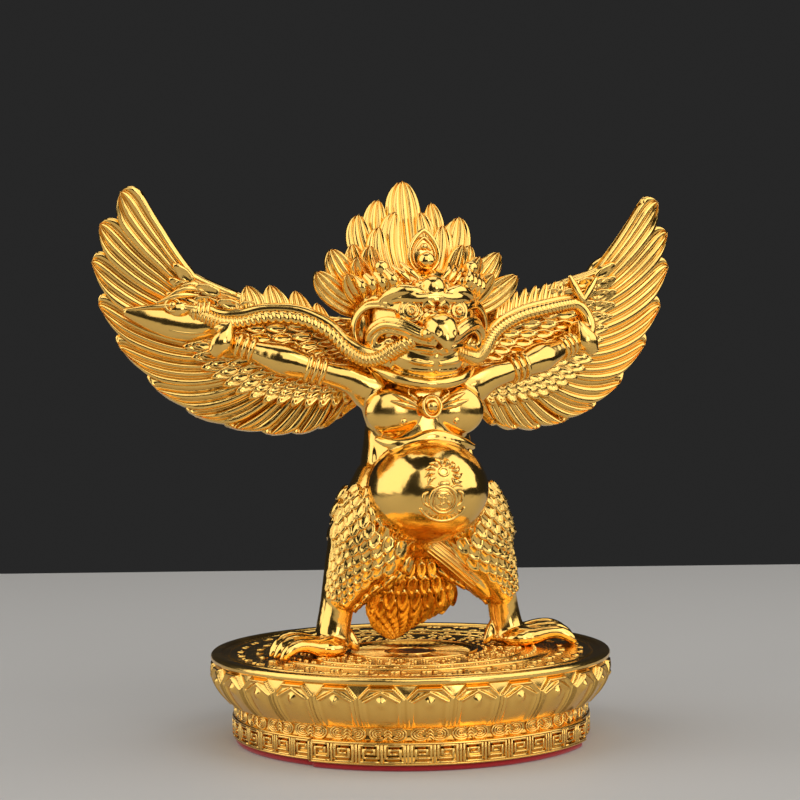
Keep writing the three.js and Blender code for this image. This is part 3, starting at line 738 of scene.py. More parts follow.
def deckShapes():
    def ring(shapes, radius, count, first=0.0):
        pattern = meshObject("deckPattern", shapes)
        return shapeOf(ringOf("deckRing", pattern, giltPlinth, count, radius, deckLevel, first))

    def line(radius, level, wire, count):
        return ringRound((0, 0, level), (0, 0.001, 1), (radius, radius), wire, count)

    shapes = [ring([egg((0, 0, 0), (size * 1.1, size * 0.9, size * 0.5), 8)], radius, count)
              for radius, count, size in deck["beadRings"]]
    shapes += [ring([deckStroke(side)], *stroke) for side, stroke in zip((-1, 1), deck["strokeRings"])]
    shapes.append(ring(deckScroll(), *deck["scrolls"]))
    shapes += [line(radius, deckLevel, 0.3, 160) for radius in deck["lines"]]
    discLevel = deckLevel - plinth["discStep"]
    for turn in roundAngles(deck["rays"]):
        shapes.append(limb([(*turned(radius, turn, discLevel), wire) for radius, wire in deck["raySteps"]],
                           sides=6, steps=3))
    return [*shapes, line(deck["discLine"], discLevel, 0.24, 80)]


def buildPlinth():
    foot, spread = plinth["footRadius"], plinth["panelAngle"]
    panels = [bentPlate((middle - spread, middle + spread), (foot - 2, foot + plinth["panelProud"]),
                        (footBottom, footTop), recess=plinth["recess"]) for middle in (0, 180)]
    body = meshObject("plinthBody", [*plinthShapes(), *panels])
    markHollows(body)
    paintFloorShade(body)
    finishPiece(body, giltPlinth)
    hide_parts("lotus_plinth")
    finishPiece(meshObject("meanderBand", meanderShapes(), smooth=False), giltPlinth)
    pattern = meshObject("swirlPair", swirlPair())
    finishPiece(ringOf("swirlFrieze", pattern, giltPlinth, swirl["pairs"]), giltPlinth)
    finishPiece(meshObject("deckOrnament", deckShapes()), giltPlinth)


buildPlinth()
print("plinth done")


# Pad
def buildPad():
    low, high = padBox[0][2], padBox[1][2]
    angle = roundAngles(360)
    fromPanel = np.minimum(np.abs((angle + np.pi) % (2 * np.pi) - np.pi), np.abs(angle - np.pi))
    onPanel = fromPanel < math.radians(plinth["panelAngle"])
    edge = plinth["footRadius"] + np.where(onPanel, plinth["panelProud"], 0) - plinth["padInset"]
    rings = [turned(edge - inset, angle, z) for inset, z in (
        (20, low), (0.3, low), (0, low + 0.25), (0, high - 0.25), (0.3, high), (20, high))]
    pad = meshObject("redPad", [skin(np.array(rings), np.array([[0, 0, low], [0, 0, high]]))])
    finishPiece(pad, redFlock)
    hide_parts("base_pad")


buildPad()
print("pad done")

# Figure: worked out on a grid whose unit is about a millimetre, with the soles at 0
gridHeight = 126    # at the crown's tip
unit = (figureBox[1][2] - figureBox[0][2]) / gridHeight
gridStart = ((figureBox[0][0] + figureBox[1][0]) / 2, 0, figureBox[0][2])


def toPart(points):
    return points * unit + gridStart


def placed(shapes):
    return [(toPart(points), faces) for points, faces in shapes]


def setPoints(mesh, points):
    mesh.vertices.foreach_set("co", points.ravel())
    mesh.update()


# Fuses overlapping shells into one skin, softens its seams and brings it under a number of triangles
def fuse(name, shapes, voxel, rounds, limit):
    piece = meshObject(name, placed(shapes))
    remesh = piece.modifiers.new("fuse", "REMESH")
    remesh.mode = "VOXEL"
    remesh.voxel_size = voxel * 1 * mm
    settle(piece)
    mean = neighbourMean(piece.data)
    points = numbersOf(piece.data.vertices, "co")
    for step in range(2 * rounds):
        points = points + (-0.56 if step % 2 else 0.6) * (mean(points) - points)
    setPoints(piece.data, points)
    triangles = triangleCount(piece.data)
    if triangles > limit:
        thin = piece.modifiers.new("thin", "DECIMATE")
        thin.ratio = limit / triangles
        settle(piece)
    piece.data.shade_smooth()
    return piece


# Presses small hollows into a skin: centre, half width and depth of each
def dent(piece, dents):
    mesh = piece.data
    points, normals = numbersOf(mesh.vertices, "co"), numbersOf(mesh.vertex_normals, "vector")
    for centre, width, depth in dents:
        away = np.linalg.norm(points - toPart(np.array(centre)) * mm, axis=1) / (width * unit * mm)
        points = points - normals * (bell(away, 1.0) * depth * unit * mm)[:, None]
    setPoints(mesh, points)


def treeOf(piece):
    mesh = piece.data
    grid = (numbersOf(mesh.vertices, "co") / mm - gridStart) / unit
    return BVHTree.FromPolygons(grid.tolist(), [tuple(face.vertices) for face in mesh.polygons])


# The nearest places on a skin, its normals there, and how far off they lie
def layOn(tree, places, lift=0.0):
    found = [tree.find_nearest(Vector(place)) for place in places]
    spots, normals = (np.array([list(hit[k]) for hit in found]) for k in (0, 1))
    return spots + normals * lift, normals, np.array([hit[3] for hit in found])


# A line of rows (place and half width) laid on a skin, drawn as a thin ridge
def ridgeOn(tree, rows, steps=20, sides=6, lift=0.0):
    line = spline(rows, np.linspace(0, 1, steps + 1))
    spots, normals, _ = layOn(tree, line[:, :3], lift)
    front = normals[len(normals) // 2] * -1.0 + 1e-4
    return limb(np.concatenate([spots, line[:, 3:]], 1), sides, steps, front)


# Stations from one side to the middle, carried on mirrored to the other side
def acrossMiddle(stations):
    return [*stations, *((-x, *rest) for x, *rest in stations[-2::-1])]


# Head. Eggs are a centre and half sizes, lines are stations, and both may end in how finely they are drawn.
head = {
    "middle": (0, -2, 87),
    "skull": [((0, -2, 87.5), (15, 13, 14.5)), ((0, -7.5, 77.6), (10.5, 8.6, 7)),
        ((0, -1, 74), (10.5, 8, 9))],
    "sides": [((15.4, 0.6, 86), (2.4, 3, 6.8)), ((6.4, -11.4, 89.6), (3.6, 3, 3.4))],
    "beak": [(0, -8, 84.5, 6, 5), (0.1, -13, 85.4, 4.8, 3.8), (0.2, -17.2, 85.9, 4.4, 3.1),
        (0.3, -20, 84.9, 4.1, 2.8), (0.5, -21.9, 82.5, 3.0, 2.0), (0.7, -22.4, 80.3, 1.5, 1.2),
        (0.8, -22, 78.9, 0.7, 0.7)],
    "brow": [(1.8, -14.2, 93, 1.0), (4.4, -14.2, 94, 1.5), (7.4, -13.2, 94.6, 1.8), (10.4, -10.8, 93.9, 1.7),
        (13, -8, 91.8, 1.0)],
    "lip": [(1.2, -19, 80.9), (5, -17.2, 83), (8.8, -14.6, 85.1), (12.4, -11.2, 85.8), (14.8, -8.2, 83.8),
        (14.8, -7, 80.8), (12.6, -8.8, 79.3), (11, -10.6, 80.8), (11.4, -10.8, 82.2)],
    "lowLip": [(0.2, -17.4, 78.9), (4.4, -15.4, 79.6), (8.6, -12, 80.2)],
    "collar": [(14, 3, 77.5, 1.7), (13.2, -4, 75.2, 1.7), (8, -10.4, 71.8, 1.7), (0, -12.8, 70.4, 1.7)],
    "ear": [(9, -12.6, 90.2), (12, -9, 91.8), (15.2, -5.4, 91.6), (17.6, -3, 88.8), (18.4, -2, 84.8),
        (17.4, -2.4, 80.8), (14.4, -4.4, 78.2), (11.8, -6.4, 78)],
    "eye": (6.2, -13.8, 89.3),
    "eyeSize": (2.0, 1.8, 2.0),
    "eyeRings": ((1.75, 0.42, 1.0), (2.75, 0.5, 0.5), (0.62, 0.34, 1.85)),    # radius, wire, how far out
    "noseWing": ((3.4, -19.2, 83.2), (1.8, 2.1, 1.7), 20),
    # the wrinkles over the nose, then the throat's folds
    "folds": (([(0.9, -16.4, 90.6, 0.6), (2.4, -15.9, 91.4, 0.9), (3.4, -15.6, 90.4, 0.6)], 10, 14),
        ([(0.4, -16.6, 92, 0.5), (1.6, -16, 92.8, 0.6), (2.8, -15.6, 92.6, 0.4)], 8, 10),
        ([(9, -11.5, 77.6, 0.4), (5.4, -14.6, 76.3, 0.65), (1, -15.7, 75.6, 0.45)], 10, 16),
        ([(8.6, -10, 75.4, 0.4), (5.4, -13.3, 74.3, 0.65), (1, -14.8, 73.8, 0.45)], 10, 16)),
    # series of four: the folds at the mouth's corner, and banded rolls and strands of hair over the temples
    "series": (
        ([(9.2, -9.4, 79, 0.6), (9.8, -9.2, 76.4, 0.7), (10.2, -7.6, 73.8, 0.5)], (1, 0.9, 0, 0), 8, 10),
        ([(9.8, -10.6, 95.2, 0.9), (10.4, -12.4, 97.4, 1.35), (11.6, -10, 99.8, 1.0)],
         [(2, 2.2, -0.5, 0), (2, 2.4, -0.5, 0), (2, 2.4, -0.5, 0)], 14, 16),
        ([(3.4, -12, 98, 0.55), (5.2, -10.8, 99.8, 0.95), (6.6, -7.6, 102, 0.6)],
         [(2, 1.2, -0.5, 0), (2, 1.2, -0.5, 0), (2, 1.2, -0.6, 0)], 12, 14)),
    "balls": (((9.0, -11.2, 97.2), (1.2, 1.2, 1.2), 18), ((12.4, -8.6, 101), (2, 2, 1.9), 20)),
    # the creases over the beak: z, y and half length
    "creases": ((89.2, -17.2, 3.2), (88.2, -19.4, 3.4), (86.8, -21.4, 3.3)),
    # small lumps on the figure's left cheek
    "cheek": (((9.6, -11.8, 85.4), (1.1, 1, 1.1), 14), ((11, -10.4, 87), (1.2, 1, 1), 14),
        ((8.9, -12.6, 87.2), (0.8, 0.8, 0.8), 12), ((11.6, -10, 84.8), (0.9, 0.9, 0.9), 12)),
    "forehead": [((0.1, -13.2, 95.2), (3.5, 3.7, 3.5)), ((-2.6, -11.8, 95.6), (2.4, 2.6, 2.0)),
        ((2.8, -11.8, 95.6), (2.4, 2.6, 2.0))],
    "visor": [(13, -8.4, 91.4, 0.6, 0.9), (8.4, -13.5, 93, 0.7, 1.3), (4.2, -15.8, 92.6, 0.75, 1.3),
        (0, -16.2, 93, 0.8, 1.2)],
    "dents": [((2.3, -22.6, 83.4), 0.55, 1.5), ((-1.5, -22.6, 83.4), 0.55, 1.5),
        ((6.8, -16.2, 89.5), 0.5, 0.5), ((-6.8, -16.2, 89.5), 0.5, 0.5)],
    "voxel": 0.24,
    "triangles": 128000,
}


# Lines side by side along a path, spread across it on the round of the head, over a broad base
def besides(path, spread, width, base, steps=40):
    shares = np.linspace(0, 1, steps + 1)
    line = spline(path, shares)
    out = unitOf(line - head["middle"])
    across = unitOf(np.cross(unitOf(np.gradient(line, axis=0)), out))
    taper = np.minimum(1, np.minimum(shares, 1 - shares) * 6 + 0.35)[:, None]
    made = [limb(np.concatenate([line + across * shift * taper, width * (0.5 + 0.5 * taper)], 1), 8, steps)
            for shift in spread]
    foot = np.concatenate([line - out * 0.5 * width, base * taper, 0.6 * base * taper], 1)
    return [*made, limb(foot, 12, steps, front=(0, 0, 1))]


def headShapes():
    shapes = [egg(*lump, 64) for lump in head["skull"]]
    shapes += [egg(*lump, 40) for lump in head["forehead"]]
    shapes.append(limb(acrossMiddle(head["visor"]), 16, 60, front=(0, 0, 1)))
    # combed strands over the back of the skull
    (_, back, level), (wide, deep, tall) = head["skull"][0]
    for turn in np.radians(np.linspace(-78, 78, 15)):
        shapes.append(limb([(wide * math.sin(turn) * math.cos(t), back + deep * math.cos(turn) * math.cos(t),
                             level + tall * math.sin(t), 1.5 * math.cos(t) + 0.2)
                            for t in np.radians((62, 40, 15, -10, -32, -48))], 14, 24))
    shapes.append(limb(head["beak"], 40, 30))
    half = [egg(*lump, 32) for lump in head["sides"]]
    half.append(limb(head["brow"], 20, 24))
    half += besides(head["ear"], (-1.15, 0, 1.15), 0.66, 1.5)
    half += besides(head["lip"], (-1.5, 0, 1.5), 0.78, 2.0)
    half += besides(head["lowLip"], (-0.7, 0.7), 0.62, 1.2)
    eye = np.array(head["eye"])
    look = unitOf(np.array([eye[0] * 0.42, -13.0, 1.0]))
    half.append(egg(eye, head["eyeSize"], 28))
    half += [ringRound(eye + look * step, look, (radius, radius), wire)
             for radius, wire, step in head["eyeRings"]]
    half.append(egg(*head["noseWing"]))
    half += [limb(*fold) for fold in head["folds"]]
    half += [shape for rows in head["series"] for shape in series(*rows)]
    half += [egg(*ball) for ball in head["balls"]]
    for z, y, reach in head["creases"]:
        crease = [(-reach, y + 2.6, z - 1, 0.3), (-0.5 * reach, y + 0.5, z, 0.42),
                  (0.2, y - 0.5, z - 0.5, 0.45), (0.5 * reach, y + 0.4, z, 0.42),
                  (reach, y + 2.6, z - 1, 0.3)]
        shapes.append(limb(crease, 8, 20))
    collar = limb(acrossMiddle(head["collar"]), 14, 60, front=(0, 0, 1))
    return [*shapes, collar, *bothSides(half), *(egg(*lump) for lump in head["cheek"])]


# The teardrop jewel over the brow: two rims, a back plate, a stone and a small one, and a cap between them
jewel = {
    "outline": (4.9, 5.5, 105.5),    # half width, half height, and the height of its middle
    "depth": -6.6,
    "middle": (0, -6.6, 103.6),
    "rimWires": (0.62, 0.36),
    "innerSize": 0.74,
    "stones": (((0, -5.4, 104.4), (4.4, 1.6, 5.2), 32), ((0.1, -8.4, 102.8), (2.35, 2, 2.3), 32),
        ((-0.2, -7.4, 106.6), (1, 0.9, 1), 16)),
    "cap": ([(-1.7, -6.9, 105.8, 0.4), (0, -7.1, 106.9, 0.5), (1.7, -6.9, 105.8, 0.4)], 8, 12),
}


def jewelShapes():
    turn = roundAngles(48)
    wide, tall, level = jewel["outline"]
    outline = np.stack([wide * np.sin(turn) * np.abs(np.sin(turn / 2)) ** 0.6, jewel["depth"] + 0 * turn,
                        level + tall * np.cos(turn)], 1)
    middle = np.array(jewel["middle"])
    inner = middle + (outline - middle) * jewel["innerSize"] + (0, -0.1, 0)
    rims = [hoop(rim, wire) for rim, wire in zip((outline, inner), jewel["rimWires"])]
    return [*rims, *(egg(*stone) for stone in jewel["stones"]), limb(*jewel["cap"])]


# Crown of flame locks: lean from the vertical in degrees, reach, how far back the tip stands, and half width
crown = {
    "centre": (0, 3, 86),
    "locks": [(64, 31.4, -3, 3.3), (50, 31, -1, 3.6), (37, 27.4, 2.4, 3.3), (26, 33, 5, 4.6),
        (12.5, 34.4, 8, 3.0), (0, 39.5, 10, 5.2), (-12.5, 35, 8, 3.7), (-25, 33, 5.4, 4.0),
        (-37, 27.4, 2.4, 3.4), (-49, 31, -0.5, 3.9), (-63, 31.4, -2.5, 3.5)],
    "frontLocks": [(56, 25, -5, 2.8), (43, 25.5, -3.5, 2.9), (31, 25.5, -1.5, 3.0), (18, 28.5, 2.5, 3.1),
        (6.5, 31, 5, 2.8), (-7, 31, 5, 3.0), (-19, 28, 2.5, 3.1), (-31, 25, -1.5, 3.0), (-43, 25, -3.5, 2.9),
        (-56, 24.6, -5, 2.8)],
    "flutes": 4,
    "frontFlutes": 3,
    "rootReach": 12.0,    # a lock leaves the head this far from the crown's centre
    "rootTurn": 13.0,     # and this many degrees lower than its tip, so that it bends upwards
}


def flutes(across, count, depth):
    return depth * np.abs(np.sin(np.pi * ((across + 1) / 2 * count))) ** 0.75


# The outline of a leaf: full up to a share of its length, and narrowing from there to its tip
def leafEnd(v, start, fall, power):
    return np.maximum(0, 1 - np.clip((v - start) / (1 - start), 0, 1) ** fall) ** power


def lock(angle, reach, depth, width, count, start=1.0):
    def spot(lean, out, back):
        lean = math.radians(lean)
        return np.array(crown["centre"], float) + (out * math.sin(lean), back, out * math.cos(lean))

    turn = crown["rootTurn"] * np.sign(angle)
    root = spot(angle + 0.6 * turn, crown["rootReach"] * start, 0.25 * depth)
    bend = spot(angle + turn * 0.9, 0.72 * reach, 0.7 * depth)
    tip = spot(angle, reach, depth)

    def surface(u, v):
        v = v[..., None]
        middle = (1 - v) ** 2 * root + 2 * v * (1 - v) * bend + v**2 * tip
        run = unitOf(2 * (1 - v) * (bend - root) + 2 * v * (tip - bend))
        right = unitOf(np.cross((0, -1, 0.0), run))
        return middle + right * (u * width)[..., None] + np.stack([0 * u, 0.9 * u * u, 0 * u], -1)

    return ribbon(surface, lambda u, v: 0.5 + flutes(u, count, 0.75) + 0.6 * (1 - u * u) + 0 * v,
                  lambda u, v: 1.2 * (1 - 0.5 * v) * (1 - 0.7 * u * u),
                  lambda v: np.minimum(1, 0.7 + 0.75 * v) * leafEnd(v, 0.55, 2.6, 0.62), 7 * count + 1, 34)


def crownShapes():
    shapes = [lock(*values, crown["flutes"] + (1 if values[0] == 0 else 0)) for values in crown["locks"]]
    shapes += [lock(*values, crown["frontFlutes"], 1.1) for values in crown["frontLocks"]]
    return [*shapes, *jewelShapes()]


# Wings: a cupped sheet. Every line of it runs from the shoulder over the coverts to the covert edge, and
# on to a tip.
wing = {
    "feathers": 12,
    "flutes": 4,
    "fluteDepth": 0.95,
    "shingle": 0.9,         # the lower edge of a feather lies this much over the next one
    "overlap": 1.22,
    "covertShare": 0.34,
    "covertRows": (0.06, 0.1, 0.14, 0.18, 0.22, 0.26, 0.3, 0.335, 0.37),
    "covertSpacing": 2.9,
    "shoulder": [(10, 87), (9, 84), (9, 81), (9, 78), (9, 75)],
    "covertEdge": [(57.5, 101.4), (57.5, 91.5), (50, 78), (38.5, 71.5), (29, 70.3), (20, 70.4), (11, 73)],
    "tips": [(74.6, 126.6), (83.4, 109.8), (79.8, 87), (62, 65.4), (41.5, 57.6), (26.5, 58), (18, 63.6)],
    "rim": [(10, 85.5, 2.4), (26, 90.8, 1.8), (44, 96.8, 1.5), (61, 103, 1.2), (68.4, 110.6, 0.9),
        (73.6, 119.4, 0.6)],
    "rightDip": 3.8,
    "dipSpan": (10, 56),           # from which x the dip runs, and over what width
    "rootDepth": 6.5,
    "sweep": (15, 12, 60, 1.2),    # how far the tip stands back, from which x, over what width, and its curve
    "roll": (2.9, 98, 8),          # how far the top rolls forward, from which height, and how softly
    "featherStart": 0.26,
}


def wingDepth(x, z):
    back, start, width, power = wing["sweep"]
    forward, level, soft = wing["roll"]
    return (wing["rootDepth"] + back * np.maximum(0, (x - start) / width) ** power
            - forward * np.logaddexp(0, (z - level) / soft))


def onWing(x, z, share, side, dip):
    start, width = wing["dipSpan"]
    part = np.clip((x - start) / width, 0, 1)
    low = z - dip * np.sin(np.pi * part) * np.maximum(0, 1 - 3 * share)
    return np.stack([side * x, wingDepth(x, z), low], -1)


def wingSheet(share, along, side, dip):
    share, along = np.broadcast_arrays(np.asarray(share, float), np.asarray(along, float))
    start, edge, tip = (spline([(x, 0, z) for x, z in wing[key]], share)[..., [0, 2]]
                        for key in ("shoulder", "covertEdge", "tips"))
    inner = np.clip(along / wing["covertShare"], 0, 1)[..., None]
    part = np.clip((along - wing["covertShare"]) / (1 - wing["covertShare"]), 0, 1)[..., None]
    length = np.linalg.norm(tip - edge, axis=-1)
    droop = length * (0.08 + 0.16 * np.minimum(1, 2.2 * share)) * np.where(share > 0.6, 0.7, 1)
    bend = (edge + tip) / 2 + np.stack([droop * (0.5 - 0.6 * share), -droop], -1)
    feather = (1 - part) ** 2 * edge + 2 * part * (1 - part) * bend + part**2 * tip
    flat = np.where(along[..., None] <= wing["covertShare"], start + (edge - start) * inner, feather)
    return onWing(flat[..., 0], flat[..., 1], share, side, dip)


def featherShape(number, side, dip):
    count = wing["feathers"]
    flow = wing["flutes"] if number < 5 else 3
    start, end = wing["featherStart"], 0.985 if number < 9 else 0.98

    def surface(u, v):
        share = np.clip((number + 0.5) / count + u * (wing["overlap"] / count / 2), 0, 1)
        sheet = wingSheet(share, start + (end - start) * v, side, dip)
        sheet[..., 1] -= wing["shingle"] * u * np.minimum(1, 0.3 + v) + 0.5
        return sheet

    rim = lambda u, v: 0.25 * smooth(0.8, 0.96, np.maximum(np.abs(u), (v - 0.9) * 10))
    return ribbon(surface, lambda u, v: 0.35 + flutes(u, flow, wing["fluteDepth"]) + rim(u, v),
                  lambda u, v: 0.9 - 0.35 * v + 0 * u + flutes(u, flow, 0.2),
                  lambda v: leafEnd(v, 0.8, 2, 0.6), 7 * flow + 1, 46)


def wingShapes(side):
    dip = wing["rightDip"] if side < 0 else 0
    shapes = [featherShape(number, side, dip) for number in range(wing["feathers"])]
    # the covert area, a smooth plate under the scales
    plate = lambda u, v: wingSheet(0.5 + 0.5 * u, 0.02 + 0.36 * v, side, dip)
    shapes.append(ribbon(plate, lambda u, v: 0.9 + 0.5 * smooth(0.98, 0.8, v) + 0 * u,
                         lambda u, v: 1.3 + 0 * u + 0 * v, lambda v: 1 + 0 * v, 60, 30))
    x, z, width = np.array(wing["rim"], float).T
    return [*shapes, limb(np.column_stack([onWing(x, z, 0.0, side, dip), width]), 14, 60)]


# Places for the coverts' scales: rows across the wing, evenly spaced, on the sheet's front or on its back
def covertPlaces(side, back=False):
    dip = wing["rightDip"] if side < 0 else 0
    share, along, sizes = [], [], []
    for number, row in enumerate(wing["covertRows"]):
        fine = np.linspace(0.01, 0.99, 200)
        line = wingSheet(fine, row, side, dip)
        run = np.concatenate([[0], np.cumsum(np.linalg.norm(np.diff(line, axis=0), axis=1))])
        spacing = wing["covertSpacing"] * (0.8 + 0.9 * row)
        stops = np.arange(spacing * (0.25 + 0.5 * (number % 2)), run[-1], spacing)
        share.append(np.interp(stops, run, fine))
        along.append(0 * stops + row)
        sizes.append(0 * stops + spacing)
    share, along, sizes = (np.concatenate(part) for part in (share, along, sizes))
    spot = wingSheet(share, along, side, dip)
    ahead = wingSheet(share, along + 0.01, side, dip) - spot
    across = (wingSheet(np.minimum(share + 0.01, 1), along, side, dip)
              - wingSheet(share - 0.01, along, side, dip))
    out = unitOf(np.cross(across, ahead))
    out *= np.sign(-out[:, 1:2]) * (-1 if back else 1)
    return spot + out * 1.25, out, unitOf(ahead), sizes * (1.3 if back else 1.1)


# Serpent: it is held in the beak and runs out over both forearms. A beaded rope runs under its smooth back.
serpent = {
    "right": [(4, -12, 81.6, 1.5), (7.3, -15, 81.2, 1.6), (10.3, -12.4, 79.6, 1.7), (13.4, -9.2, 77.4, 1.7),
        (17, -6.2, 77.2, 1.7), (20.4, -4, 79.6, 1.7), (24.4, -1, 84.2, 1.7), (31.4, 2.6, 87.8, 1.7),
        (39.9, 6.6, 88.4, 1.7), (46, 9.4, 87.2, 1.7), (51, 11.2, 87.4, 1.9), (55, 12.2, 89, 2.0),
        (59, 13.6, 91, 2.0)],
    "left": [(5, -12, 80, 1.5), (9.5, -12.6, 77.8, 1.6), (12.8, -10.2, 77.2, 1.7), (15.8, -7.6, 79, 1.7),
        (21.4, -2.2, 84.2, 1.7), (30.4, 3.4, 88.4, 1.7), (41.6, 7.4, 91, 1.7), (49.9, 11, 92.4, 1.6)],
    "hook": [(47.4, 10.2, 92, 1.6), (50.6, 11.2, 92.2, 1.9), (53.6, 12, 89.6, 2.1), (54.8, 12, 86, 2.2),
        (53.6, 11.2, 82.4, 2.0), (51, 9.6, 79.6, 1.7)],
    "ribs": 55,
    "ribDepth": 0.55,
    "back": {"right": (2.4, 1.5), "left": (2.0, 1.0)},    # the smooth back's rise over the rope, half width
    "backSet": 0.8,
    "spikes": [(0.515, 6.0, 4.4), (0.572, 7.0, 5.6), (0.632, 7.6, 6.7), (0.695, 8.0, 7.4), (0.76, 7.2, 6.4)],
    "spikeFlutes": 4,
    "comb": (0.6, 0.95, 9),    # its start and end along the serpent, and its number of spikes
    "combSpike": (4.2, 5.2, 2, 0.5),    # width, height, flutes and lean
    # a forked leaf where the serpent turns down to the hand
    "fork": ([(48.8, 10.8, 100, 0.6), (50.2, 10.4, 97, 1.1), (52.4, 10.2, 93.4, 1.0)],
        [(57, 11.6, 99.6, 0.6), (55, 11.2, 96.6, 1.1), (52.6, 10.4, 93.4, 1.0)]),
    "skull": ((-61.4, 13.6, 91), (3.6, 2.6, 2.6), 24),
    "eye": ((-63.6, 12.2, 92), (1.1, 1.1, 1.1), 16),
    # the long smooth jaw, the brow line over it, and the mouth's line along it
    "jaw": (([(-52.4, 13, 86.6, 3.0, 2.2), (-57.4, 14, 86.6, 4.3, 2.7), (-63, 14.8, 87.6, 4.5, 2.7),
         (-69, 15.6, 89, 3.4, 2.3), (-74.9, 16.8, 90.4, 1.3, 1.2)], 28, 44),
        ([(-57.6, 11.6, 91.2, 0.9), (-63, 12.4, 91.9, 0.8), (-69, 13.8, 91.6, 0.7), (-75.6, 16.4, 90.8, 0.4)],
         10, 30),
        ([(-54, 11.8, 84.8, 0.5), (-60, 12.4, 84.6, 0.6), (-66, 13.6, 86, 0.55), (-72, 15.4, 88.4, 0.35)],
         8, 30)),
    "crest": (((-67.5, 13, 92.6), (-62, 12.6, 94.6), (-56.6, 12.4, 94.6), 0.9),
        ((-65, 12.8, 94), (-60, 12.4, 96.4), (-55, 12.2, 95.8), 0.9),
        ((-62.6, 13, 95.8), (-58.6, 12.6, 97.6), (-54.4, 12.4, 96.6), 0.8)),
    "throat": ([(-54, 11.4, 92.6, 0.5), (-54.6, 10.8, 90.2, 0.75), (-54.2, 11.6, 87.6, 0.5)],
        [(-1.3, 0.2, -0.1, 0), (-1.2, 0.2, 0, 0), (-1.2, 0.2, 0, 0)], 10, 12),
}


def serpentRows(key, side):
    return np.array([(side * x, *rest) for x, *rest in serpent[key]], float)


def serpentShapes(key, side):
    def relief(share, angle):
        return (np.abs(np.sin(np.pi * serpent["ribs"] * share + angle)) ** 0.7 - 0.5) * serpent["ribDepth"]

    rows = serpentRows(key, side)
    rise, width = serpent["back"][key]
    back = rows[3:] + (0, serpent["backSet"], rise, 0)
    back[:, 3] = width
    back[0, 2] -= 1.6
    return [limb(rows, 20, 330, relief=relief), limb(back, 16, 70)]


# A fluted spike of the mane, standing on the serpent's back and leaning towards the hand
def maneSpike(rows, share, width, height, count, lean=0.2):
    here, ahead = (spline(rows, np.array([place]))[0, :3] for place in (share, share + 0.01))
    run = unitOf(ahead - here)
    foot = here + (0, 1.4, 1.8)

    def surface(u, v):
        forward = u * width / 2 + lean * width * v**1.6
        return (foot + run * forward[..., None]
                + np.stack([0 * u, 1.6 * v, height * v * (1 - 0.16 * u * u)], -1))

    return ribbon(surface, lambda u, v: 0.5 + flutes(u, count, 0.7) + 0 * v, lambda u, v: 1.0 + 0 * u + 0 * v,
                  lambda v: leafEnd(v, 0.25, 2.2, 0.7), 7 * count + 1, 14)


def maneShapes():
    right, left = serpentRows("right", -1), serpentRows("left", 1)
    shapes = [maneSpike(right, *spike, serpent["spikeFlutes"]) for spike in serpent["spikes"]]
    shapes += [maneSpike(left, share, *serpent["combSpike"]) for share in np.linspace(*serpent["comb"])]
    return [*shapes, limb(serpent["hook"], 20, 40), *(limb(leaf, 12, 16) for leaf in serpent["fork"])]


def serpentHead():
    eye = ringRound(serpent["eye"][0], (-0.2, -1, 0.2), (1.9, 1.7), 0.42, 24)
    shapes = [egg(*serpent["skull"]), egg(*serpent["eye"]), eye, *(limb(*line) for line in serpent["jaw"])]
    shapes += [limb([(*start, 0.4 * width), (*bend, width), (*end, 0.4 * width)], 12, 20)
               for start, bend, end, width in serpent["crest"]]
    return [*shapes, *series(*serpent["throat"])]


